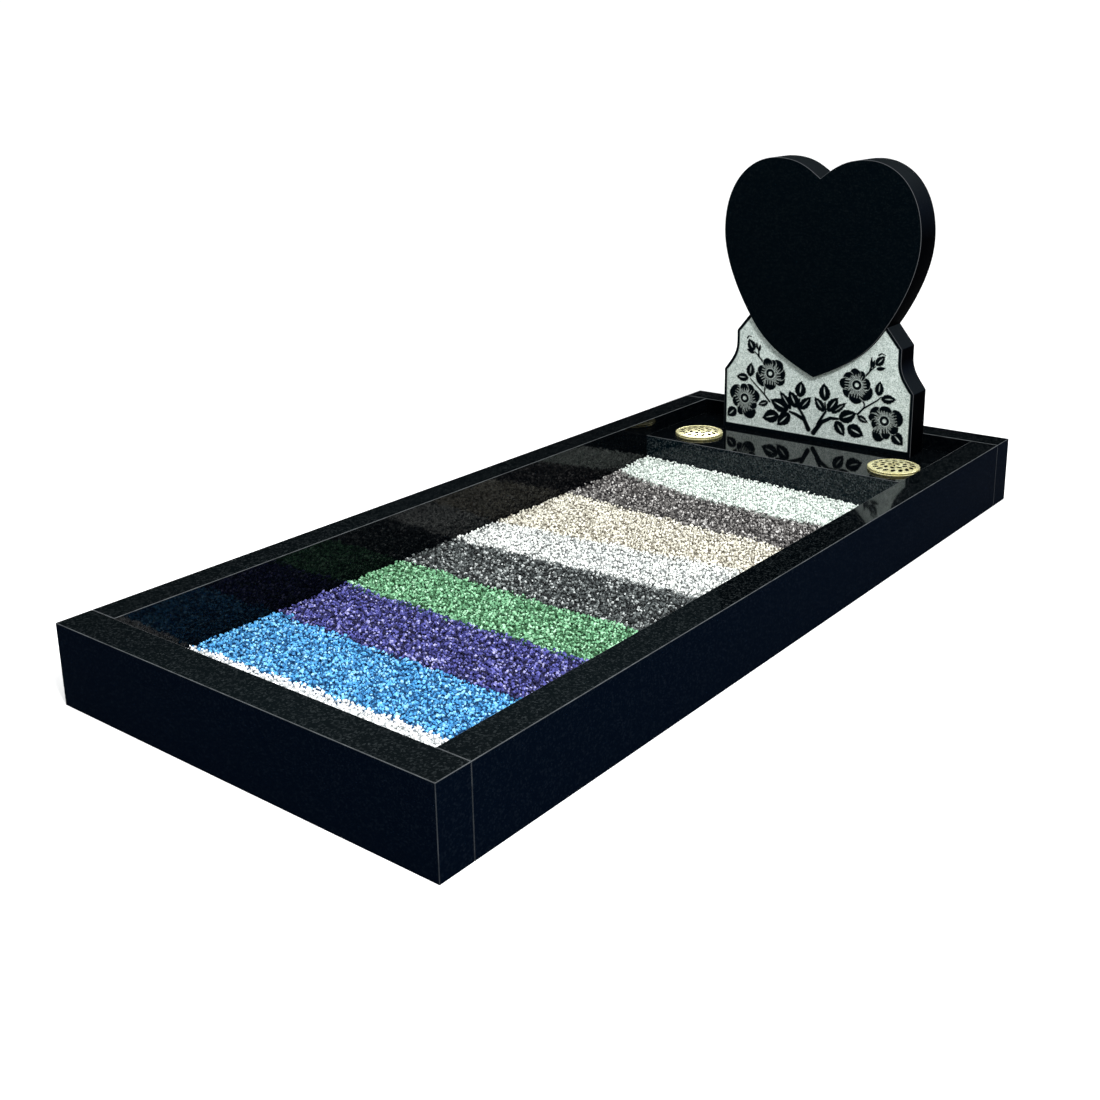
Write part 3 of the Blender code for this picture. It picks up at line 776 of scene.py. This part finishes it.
def plate_surface():
    """The plate as level rings stacked upwards, with the carving sunk into the front of each ring.

    A ring starts at the front left and runs round by the right side and the back. Its front
    points are evenly spaced between the two arrises.
    """
    crown = HEART_TIP_HEIGHT + CROWN_UP * HEART_RISE
    z = np.concatenate([np.arange(0, CARVED_HEIGHT, CELL), np.arange(CARVED_HEIGHT, crown, COARSE_CELL)])
    width, slope = plate_half_width(z)
    across = np.linspace(-1, 1, round(PLATE_WIDTH / CELL))
    turn = np.linspace(0, math.pi / 2, ARRIS_STEPS + 1)[1:]
    x = (width - ARRIS)[:, None] * across
    margin = (width[:, None] - np.abs(x)) / np.sqrt(1 + slope[:, None] ** 2)
    height = np.repeat(z[:, None], len(across), axis=1)
    ground = cover(margin - PANEL_MARGIN) * cover(height - PANEL_FOOT)
    standing = 1 - ground * (1 - carving(x, height))
    front = np.stack([x, PLATE_FACE + PANEL_DEPTH * (1 - standing), height + STONE_FOOT], axis=-1)
    out, deep = ARRIS * np.sin(turn), ARRIS * (1 - np.cos(turn))
    edge_x = np.concatenate([out, out[::-1], [0.0]]) - ARRIS
    back = STONE_BACK - FLUSH_GAP
    edge_y = np.concatenate([PLATE_FACE + deep, back - deep[::-1], [back]])
    right_x = width[:, None] + edge_x
    edge = np.stack([right_x, np.broadcast_to(edge_y, right_x.shape),
                     np.broadcast_to((z + STONE_FOOT)[:, None], right_x.shape)], axis=-1)
    other = edge[:, ::-1] * (-1, 1, 1)
    rings = np.concatenate([front, edge, other], axis=1)
    points, faces = closed_surface(rings, (0, (PLATE_FACE + STONE_BACK) / 2, STONE_FOOT),
                                   (0, (PLATE_FACE + STONE_BACK) / 2, STONE_FOOT + z[-1]))
    first, side = len(across), 2 * ARRIS_STEPS + 1
    on_side = np.zeros((len(z) - 1, rings.shape[1]), bool)
    on_side[:, first:] = True
    on_side[:, first + side - 1] = False
    on_side = np.append(on_side.ravel(), np.zeros(2 * rings.shape[1], bool))
    rest = np.ones((len(z), edge.shape[1] + other.shape[1]))
    arris = np.zeros(rings.shape[:2])
    for start in (0, ARRIS_STEPS + 1, side + 1, side + ARRIS_STEPS + 2):
        arris[:, first + start:first + start + ARRIS_STEPS - 1] = 1
    standing = np.concatenate([standing, rest], axis=1).ravel()
    return points, faces, on_side, np.append(standing, [1, 1]), np.append(arris.ravel(), [0, 0])


plate_points, plate_faces, plate_side, plate_standing, plate_arris = plate_surface()
print(f"plate: {len(plate_points)} points, {100 * (1 - plate_standing.mean()):.0f}% of them carved")

# %% [markdown]
# ## The finish of the slab
#
# The polished parts are the same granite as the kerbs. The blasted ground is what black granite
# looks like when its skin is broken: a pale greenish grey, mottled by its crystals, rough to the
# touch. The carving's own attribute mixes the two, so the line between them follows the relief.

# %% Headstone
# How far a face of the edge looks up, and its colour there: a sheen from the sky, painted on the faces that
# look up
PAINTED_EDGE_SHEEN = ((0.0, (0.0002, 0.0003, 0.0006)), (0.30, (0.0020, 0.0030, 0.0048)),
              (0.75, (0.0066, 0.0084, 0.0098)))
# The highlight line painted along the arris of the slab's edge
PAINTED_EDGE_HIGHLIGHT = (0.060, 0.064, 0.068)
# Blasted ground: its grain, and its colour there
BLASTED = ((0.30, (0.17, 0.21, 0.195)), (0.50, (0.40, 0.46, 0.435)), (0.68, (0.64, 0.70, 0.675)))
GRAIN_SCALE = 430.0
MOTTLE_SCALE = 110.0
MOTTLE_SHARE = 0.2


def make_carved_granite():
    """Polished granite where the attribute `standing` is 1, and blasted granite where it is 0."""
    level, base, crystals = FACE_FINISHES_AND_PAINTED_SHADE["slab"]
    finish = Finish("carved_black_granite", Specular_IOR_Level=level)
    place, standing = finish.place(), finish.mark("standing")
    polished, edge = granite_colour(finish, place, base, crystals)
    grain, mottle = finish.noise(place, GRAIN_SCALE), finish.noise(place, MOTTLE_SCALE, 3.0)
    both = finish.add("Mix", "Result", {"Factor": MOTTLE_SHARE, "A": grain, "B": mottle}, data_type="FLOAT")
    rough = finish.scaled(standing, 0.85, 0.05)
    finish.wear(Base_Color=finish.mix(standing, finish.ramp(both, BLASTED), polished),
                Roughness=finish.reckon("MULTIPLY_ADD", edge, ARRIS_ROUGHNESS, rough, clamp=True),
                Normal=finish.bump(finish.scaled(standing, 0.6, 0.0), 0.0006, grain))
    return finish.material


def make_edge_finish():
    """The polished edge of the slab, with a sheen from the sky painted where it looks up, and a painted
    highlight line on its arris.
    """
    finish = Finish("polished_edge", Specular_IOR_Level=FACE_FINISHES_AND_PAINTED_SHADE["slab"][0])
    sheen = finish.ramp(finish.upward("Normal"), PAINTED_EDGE_SHEEN)
    finish.wear(Base_Color=finish.mix(finish.mark("arris"), sheen, (*PAINTED_EDGE_HIGHLIGHT, 1)))
    return finish.material


def make_headstone():
    """Puts the plate and the heart, which are one stone, into one piece.

    Only the heart's edge, whose faces are quads, is shaded round.
    """
    points = np.concatenate([plate_points, heart_points])
    faces = plate_faces + [[corner + len(plate_points) for corner in face] for face in heart_faces]
    heart_side = [len(face) == 4 for face in heart_faces]
    smooth = np.append(np.zeros(len(plate_faces), bool), heart_side)
    stone = new_object("stone_headstone", points, faces, smooth)
    mark_points(stone, "standing", np.append(plate_standing, np.ones(len(heart_points))))
    mark_points(stone, "arris", np.append(plate_arris, heart_arris))
    dress(stone, [make_carved_granite(), make_edge_finish()], np.append(plate_side, heart_side))
    return stone


keep(make_headstone(), "granite", "headstone")

# %% [markdown]
# ## Flower pots and their lids
#
# Both are spun or pressed from thin metal with a pale gold finish. The pot is a cup whose flange
# rests on the plinth round the bore. The lid is a low dome with a rolled rim, pierced by rings of
# leaf-shaped slots for the stems. Its rim overhangs a narrower skirt, which leaves a dark gap over
# the flange. Each is a profile turned about an upright axis, and the slots are cut with an exact
# boolean, because a hole right through a sheet can't be drawn as relief.

# %% Turned metal
TURN_STEPS = 96
POT_RADIUS = 0.050
POT_WALL = 0.0015
RIM_THICKNESS = 0.0020
LID_THICKNESS = 0.0008
LID_SKIRT = 0.0035
LID_DOME = 0.0060
LID_OVERHANG = 0.0040
LID_LIP = 0.0016
BEAD_WIDTH = 0.0040
BEAD_RISE = 0.0008
BEAD_ROOM = 0.0002
BORE_CLEARANCE = 0.0010
POT_CORNER = 0.0020
RIM_CORNER = 0.0006
LIP_CORNER = 0.0005
OVERCUT = 0.0010
SLOT_CORNERS = 12
# Slots of the lid: how many in the ring, its radius, their length and width, and their slant
SLOT_RINGS = ((6, 0.0100, 0.0125, 0.0060, 0), (10, 0.0255, 0.0150, 0.0092, 45),
              (16, 0.0430, 0.0150, 0.0094, -40))


def turned(name, profile, x, y):
    """Turns a profile of (radius, height) points about an upright axis at x and y.

    The profile starts and ends on the axis and keeps the metal on its left, so that the rings of
    points (r cos a, r sin a, z) make a closed surface that looks outwards.
    """
    radius, height = np.array(profile[1:-1]).T
    turn = np.linspace(0, 2 * math.pi, TURN_STEPS, endpoint=False)
    rings = np.stack([x + radius[:, None] * np.cos(turn), y + radius[:, None] * np.sin(turn),
                      np.repeat(height[:, None], TURN_STEPS, axis=1)], axis=-1)
    points, faces = closed_surface(rings, (x, y, profile[0][1]), (x, y, profile[-1][1]))
    obj = new_object(name, points, faces, smooth=True)
    obj.data.set_sharp_from_angle(angle=math.radians(35))
    return obj


def gild(obj, bands, cap):
    """Makes a turned piece gold, but near black on the given bands and on its first or last cap: painted
    shade inside it.
    """
    finish = np.zeros((len(obj.data.polygons) // TURN_STEPS, TURN_STEPS), np.int32)
    finish[bands], finish[cap] = 1, 1
    dress(obj, [gold, painted_shade_metal], finish.ravel())


def cut(obj, cutter):
    """Cuts one mesh out of another for good, and deletes the cutter."""
    modifier = obj.modifiers.new("cut", "BOOLEAN")
    modifier.operation = "DIFFERENCE"
    modifier.solver = "EXACT"
    modifier.use_self = True
    modifier.material_mode = "TRANSFER" if cutter.data.materials else "INDEX"
    modifier.object = cutter
    bpy.context.view_layer.update()
    made = bpy.data.meshes.new_from_object(obj.evaluated_get(bpy.context.evaluated_depsgraph_get()))
    obj.modifiers.clear()
    old, obj.data = obj.data, made
    made.name = obj.name
    bpy.data.meshes.remove(old)
    bpy.data.objects.remove(cutter, do_unlink=True)


def slot_cutter(x, y, low, high):
    """All the slots as upright prisms: pointed ovals whose half width is the sine of the way along."""
    around = np.linspace(0, 2 * math.pi, SLOT_CORNERS, endpoint=False)
    points, faces = [], []
    for count, ring, length, width, slant in SLOT_RINGS:
        turn = 2 * math.pi * np.arange(count)[:, None] / count
        lean = turn + math.radians(slant)
        along, across = length / 2 * np.cos(around), width / 2 * np.sin(around)
        slot_x = x + ring * np.cos(turn) + along * np.cos(lean) - across * np.sin(lean)
        slot_y = y + ring * np.sin(turn) + along * np.sin(lean) + across * np.cos(lean)
        for each_x, each_y in zip(slot_x, slot_y):
            levels = [np.stack([each_x, each_y, np.full(SLOT_CORNERS, z)], axis=-1) for z in (low, high)]
            start = len(points) * 2 * SLOT_CORNERS
            points.append(np.concatenate(levels))
            faces += (grid_faces(2, SLOT_CORNERS, wrap=True) + start).tolist()
            faces.append([start + corner for corner in range(SLOT_CORNERS)][::-1])
            faces.append([start + SLOT_CORNERS + corner for corner in range(SLOT_CORNERS)])
    return new_object("slot_cutter", np.concatenate(points), faces)


def make_gold():
    """Pale gold metal, lightly stained, with enough haze to look soft rather than mirrored."""
    finish = Finish("pale_gold_metal", Metallic=0.72)
    stain = finish.noise(finish.place(), 60.0, 4.0)
    finish.wear(Base_Color=finish.ramp(stain, [(0.35, (0.62, 0.57, 0.26)), (0.6, (0.84, 0.80, 0.46))]),
                Roughness=finish.scaled(stain, 0.34, 0.20))
    return finish.material


gold = make_gold()
# Near-black metal for the inside of the pot, the underside of the lid and the walls of its slots: painted
# shade
painted_shade_metal = Finish("painted_shade_dark_metal", Base_Color=(0.012, 0.011, 0.006, 1), Roughness=0.6,
                   Specular_IOR_Level=0.1).material


def round_box(name):
    """A round node by its box: the x and y of its axis, its radius, its foot and its top."""
    low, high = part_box(name)
    return (low.x + high.x) / 2, (low.y + high.y) / 2, (high.x - low.x) / 2, low.z, high.z


def make_pot(side):
    """The cup: from under its floor up the outside, over the flange, and down to the floor inside."""
    x, y, rim, foot, top = round_box("flower_pot_" + side)
    inner = POT_RADIUS - POT_WALL
    profile = [(0, foot), (POT_RADIUS - POT_CORNER, foot), (POT_RADIUS, foot + POT_CORNER),
               (POT_RADIUS, top - RIM_THICKNESS), (rim, top - RIM_THICKNESS),
               (rim, top - RIM_CORNER), (rim - RIM_CORNER, top),
               (inner, top), (inner, foot + POT_WALL), (0, foot + POT_WALL)]
    pot = turned("gold_pot_" + side, profile, x, y)
    gild(pot, [len(profile) - 4], -1)
    keep(pot, "pot_metal", "flower_pot_" + side)
    return x, y


def make_lid(side):
    """The domed lid: a parabola with a rolled bead at its rim, over a narrower skirt."""
    x, y, rim, foot, top = round_box("pot_lid_" + side)
    skirt, edge, dome = rim - LID_OVERHANG, foot + LID_SKIRT, LID_DOME - BEAD_ROOM
    radius = np.concatenate([np.linspace(0, rim - BEAD_WIDTH, 12), np.linspace(rim - BEAD_WIDTH, rim, 8)[1:]])
    bead = BEAD_RISE * np.sqrt(np.clip(1 - ((radius - rim + BEAD_WIDTH / 2) / (BEAD_WIDTH / 2)) ** 2, 0, 1))
    over = edge + dome * (1 - (radius / rim) ** 2) + bead
    inner = np.linspace(0, skirt - LID_THICKNESS, 12)
    under = edge - LID_THICKNESS + dome * (1 - (inner / rim) ** 2)
    profile = list(zip(inner, under)) + [(inner[-1], foot), (skirt, foot), (skirt, edge - LID_LIP),
                                         (rim - LIP_CORNER, edge - LID_LIP), (rim, edge - LID_LIP / 2)]
    profile += list(zip(radius[::-1], over[::-1]))
    lid = turned("gold_lid_" + side, profile, x, y)
    gild(lid, slice(0, len(inner)), -2)
    slots = slot_cutter(x, y, foot - OVERCUT, top + 2 * OVERCUT)
    # The slot walls take the dark metal: painted shade in the holes
    dress(slots, [painted_shade_metal])
    cut(lid, slots)
    keep(lid, "pot_metal", "pot_lid_" + side)


def bore(x, y):
    """Drills the plinth right through for one pot."""
    radius = POT_RADIUS + BORE_CLEARANCE
    low, high = plinth_low.z - 10 * OVERCUT, plinth_high.z + 10 * OVERCUT
    cut(plinth, turned("bore", [(0, low), (radius, low), (radius, high), (0, high)], x, y))


for side in ("left", "right"):
    bore(*make_pot(side))
    make_lid(side)

lit_by_panel = bpy.data.collections.new("lit_by_lid_panel")
for obj in bpy.data.objects:
    if obj.name.startswith("gold_"):
        lit_by_panel.objects.link(obj)
lid_panel.light_linking.receiver_collection = lit_by_panel
lid_panel.light_linking.blocker_collection = lit_by_panel

# %% [markdown]
# ## Coloured chippings
#
# The bed is filled with crushed stone of about a centimetre, spread in nine bands of colour. A
# particle system would scatter them, but the exported model keeps only real meshes, so every
# visible stone is in the mesh: a block of eight corners, each moved by chance, and turned any way.
# They lie in two loose layers on a closed slab that fills the band down to the ground. Each stone
# carries one number, its tone, and the material turns tones into colours. The lower layer's tones
# are darkened as painted shade, which deepens the gaps between the upper stones, and the slab
# under them has a dark tone as painted shade too.

# %% Bands
# Name, slot, where the band ends as shares of the bed at the left, middle and right, and colours
BANDS = (
    ("white_front", "white_chips", (0.094, 0.104, 0.110),
     ((0.0, (0.40, 0.42, 0.42)), (0.18, (0.78, 0.80, 0.80)), (0.6, (0.90, 0.91, 0.91)))),
    ("blue", "blue_chips", (0.217, 0.212, 0.215),
     ((0.0, (0.006, 0.05, 0.14)), (0.35, (0.054, 0.285, 0.61)), (0.75, (0.135, 0.49, 0.84)),
      (1.0, (0.34, 0.68, 0.92)))),
    ("purple", "purple_chips", (0.331, 0.327, 0.332),
     ((0.0, (0.006, 0.005, 0.025)), (0.4, (0.038, 0.040, 0.19)), (0.8, (0.105, 0.110, 0.40)),
      (1.0, (0.42, 0.42, 0.70)))),
    ("green", "green_chips", (0.433, 0.428, 0.431),
     ((0.0, (0.02, 0.075, 0.028)), (0.35, (0.115, 0.30, 0.155)), (0.75, (0.225, 0.51, 0.29)),
      (1.0, (0.44, 0.74, 0.50)))),
    ("dark_grey", "dark_grey_chips", (0.535, 0.544, 0.556),
     ((0.0, (0.004, 0.005, 0.006)), (0.4, (0.046, 0.055, 0.056)), (0.8, (0.15, 0.17, 0.168)),
      (1.0, (0.62, 0.66, 0.65)))),
    ("white_fleck", "white_fleck_chips", (0.623, 0.646, 0.669),
     ((0.0, (0.14, 0.15, 0.15)), (0.16, (0.50, 0.53, 0.52)), (0.42, (0.82, 0.85, 0.82)),
      (1.0, (0.90, 0.92, 0.89)))),
    ("cream", "cream_chips", (0.788, 0.770, 0.767),
     ((0.0, (0.17, 0.145, 0.11)), (0.25, (0.56, 0.545, 0.455)), (0.65, (0.80, 0.78, 0.67)),
      (1.0, (0.92, 0.91, 0.82)))),
    ("brown_grey", "brown_grey_chips", (0.920, 0.876, 0.886),
     ((0.0, (0.012, 0.011, 0.012)), (0.4, (0.100, 0.095, 0.092)), (0.8, (0.26, 0.25, 0.24)),
      (1.0, (0.72, 0.71, 0.69)))),
    ("pale_green", "pale_green_chips", (1.0, 1.0, 1.0),
     ((0.0, (0.30, 0.35, 0.32)), (0.2, (0.64, 0.71, 0.66)), (0.6, (0.79, 0.86, 0.81)),
      (1.0, (0.88, 0.93, 0.89)))),
)
CHIP_DEPTH = 0.048
CHIP_HEAP = 0.011
HEAP_START = 0.8


def border(shares, x):
    """The line where a band ends: the parabola through its shares at the left, middle and right."""
    left, middle, right = shares
    t = x / BED_HALF_WIDTH
    share = middle + (right - left) / 2 * t + ((left + right) / 2 - middle) * t * t
    return BED_FRONT + share * (PLINTH_FRONT - BED_FRONT)


def chip_level(x, y):
    """The mean level of the bed: flat, but heaped to the left where it meets the plinth."""
    share = (y - BED_FRONT) / (PLINTH_FRONT - BED_FRONT)
    heap = np.maximum(0, (share - HEAP_START) / (1 - HEAP_START)) ** 2
    return CHIP_DEPTH - CHIP_HEAP * heap * x / BED_HALF_WIDTH


# %% One lump and many
CORNER_STRAY = 0.40
PLACE_STRAY = 0.3
SMALL_CHIP = 0.0054
LARGE_CHIP = 0.0098
FLATNESS = 0.45
HEIGHT_STRAY = 0.0018
# Layers: spacing, depth below the mean level, and what their tones are multiplied by, which darkens the lower
# layer as painted shade
LAYERS = ((0.0065, 0.0012, 1.0), (0.0080, 0.0058, 0.08))
BORDER_STRAY = 0.0022
WALL_GAP = 0.0006

block_mesh = bmesh.new()
bmesh.ops.create_cube(block_mesh, size=2 / math.sqrt(3))
bmesh.ops.triangulate(block_mesh, faces=block_mesh.faces)
LUMP_POINTS = np.array([point.co for point in block_mesh.verts])
LUMP_FACES = np.array([[point.index for point in face.verts] for face in block_mesh.faces])
block_mesh.free()


def lattice(spacing, rng):
    """Points of a hexagonal lattice over the bed, each moved by chance by a share of the spacing."""
    columns = np.arange(-BED_HALF_WIDTH, BED_HALF_WIDTH + spacing, spacing)
    rows = np.arange(BED_FRONT, PLINTH_FRONT + spacing, spacing * math.sqrt(0.75))
    x, y = np.meshgrid(columns, rows)
    x[1::2] += spacing / 2
    x = x.ravel() + rng.uniform(-PLACE_STRAY, PLACE_STRAY, x.size) * spacing
    y = y.ravel() + rng.uniform(-PLACE_STRAY, PLACE_STRAY, y.size) * spacing
    inset = SMALL_CHIP / 2
    within = (np.abs(x) < BED_HALF_WIDTH - inset) & (y > BED_FRONT + inset) & (y < PLINTH_FRONT - inset)
    return x[within], y[within]


def random_turns(count, rng):
    """Rotation matrices from random quaternions (w, x, y, z) of length one."""
    w, x, y, z = (lambda q: q / np.linalg.norm(q, axis=0))(rng.normal(size=(4, count)))
    return np.array([[1 - 2 * (y * y + z * z), 2 * (x * y - z * w), 2 * (x * z + y * w)],
                     [2 * (x * y + z * w), 1 - 2 * (x * x + z * z), 2 * (y * z - x * w)],
                     [2 * (x * z - y * w), 2 * (y * z + x * w), 1 - 2 * (x * x + y * y)]]).transpose(2, 0, 1)


def lumps(x, y, sink, rng):
    """Stones at x and y: each corner of a block is moved by chance, and it is stretched and turned."""
    count = len(x)
    size = rng.uniform(SMALL_CHIP, LARGE_CHIP, (count, 1, 1)) * rng.uniform(FLATNESS, 1.0, (count, 1, 3))
    shape = LUMP_POINTS * (1 + rng.uniform(-CORNER_STRAY, CORNER_STRAY, (count, len(LUMP_POINTS), 3)))
    shape = np.einsum("nij,nkj->nki", random_turns(count, rng), shape * size / 2)
    centre = np.stack([x, y, chip_level(x, y) - sink + rng.normal(0, HEIGHT_STRAY, count)], axis=-1)
    points = shape + centre[:, None]
    points[..., 0] = np.clip(points[..., 0], WALL_GAP - BED_HALF_WIDTH, BED_HALF_WIDTH - WALL_GAP)
    points[..., 1] = np.clip(points[..., 1], BED_FRONT + WALL_GAP, PLINTH_FRONT - WALL_GAP)
    return points


# %% Spreading the bands
BED_SEED = 7
FILL_TOP = 0.0095
SLAB_COLUMNS = 24
# The tone of the slab under the stones: dark, as painted shade in the gaps
PAINTED_SHADE_SLAB_TONE = 0.05
# Waves of a border: length and height
WAVES = ((0.210, 0.0022), (0.083, 0.0022), (0.037, 0.0016))


def wave(x, phase):
    """The unevenness of a raked border: a sum of sines, one for each wave, with its own phase."""
    return sum(height * np.sin(2 * math.pi * x / length + start)
               for (length, height), start in zip(WAVES, phase))


def spread_chips():
    """All the stones of the bed, with the band that each belongs to and its tone."""
    rng = np.random.default_rng(BED_SEED)
    points, bands, tones = [], [], []
    phases = rng.uniform(0, 2 * math.pi, (len(BANDS) - 1, len(WAVES)))
    for spacing, sink, painted_shade_factor in LAYERS:
        x, y = lattice(spacing, rng)
        points.append(lumps(x, y, sink, rng))
        stray = y + rng.normal(0, BORDER_STRAY, len(y))
        ends = np.array([border(band[2], x) + wave(x, phase) for band, phase in zip(BANDS, phases)])
        bands.append((stray > ends).sum(axis=0))
        # The lower layer's tones are scaled down: painted shade between the upper stones
        tones.append(rng.random(len(x)) * painted_shade_factor)
    return np.concatenate(points), np.concatenate(bands), np.concatenate(tones)


def fill_slab(start, end):
    """The closed slab under a band's stones, whose points are a grid between its two borders."""
    across = np.linspace(BED_HALF_WIDTH - WALL_GAP, WALL_GAP - BED_HALF_WIDTH, SLAB_COLUMNS)
    low = border(start, across) + WALL_GAP / 2
    high = border(end, across) - WALL_GAP / 2
    shares = np.array([0, 0.5, 1, 1, 0.5, 0])
    up = np.array([1, 1, 1, 0, 0, 0])
    y = np.clip(low + (high - low) * shares[:, None], BED_FRONT + WALL_GAP, PLINTH_FRONT - WALL_GAP)
    z = (chip_level(across[None, :], y) - FILL_TOP) * up[:, None]
    rings = np.stack([np.broadcast_to(across, y.shape), y, z], axis=-1).transpose(1, 0, 2)
    return closed_surface(rings, rings[0].mean(axis=0), rings[-1].mean(axis=0))


def make_chip_finish(name, stops):
    """Crushed stone: the tone of each stone picks its colour, and fine grain breaks it up."""
    finish = Finish(name, Roughness=0.7, Specular_IOR_Level=0.3)
    grain = finish.noise(finish.place(), 350.0, 3.0)
    speckle = finish.reckon("MULTIPLY_ADD", grain, 0.7, -0.35)
    tone = finish.reckon("ADD", finish.mark("tone"), speckle)
    finish.wear(Base_Color=finish.ramp(tone, stops), Normal=finish.bump(0.4, 0.0005, grain))
    return finish.material


def make_bands():
    """One piece for each colour: its slab and all its stones."""
    stones, bands, tones = spread_chips()
    start = (0, 0, 0)
    for index, (name, slot, end, stops) in enumerate(BANDS):
        slab_points, slab_faces = fill_slab(start, end)
        mine = stones[bands == index]
        corners = LUMP_FACES[None] + len(LUMP_POINTS) * np.arange(len(mine))[:, None, None] + len(slab_points)
        points = np.concatenate([slab_points, mine.reshape(-1, 3)])
        obj = new_object("chips_" + name, points, slab_faces + corners.reshape(-1, 3).tolist())
        stone_tones = np.repeat(tones[bands == index], len(LUMP_POINTS))
        mark_points(obj, "tone", np.append(np.full(len(slab_points), PAINTED_SHADE_SLAB_TONE), stone_tones))
        dress(obj, [make_chip_finish("chips_" + name, stops)])
        keep(obj, slot, "chippings_" + name)
        start = end


make_bands()
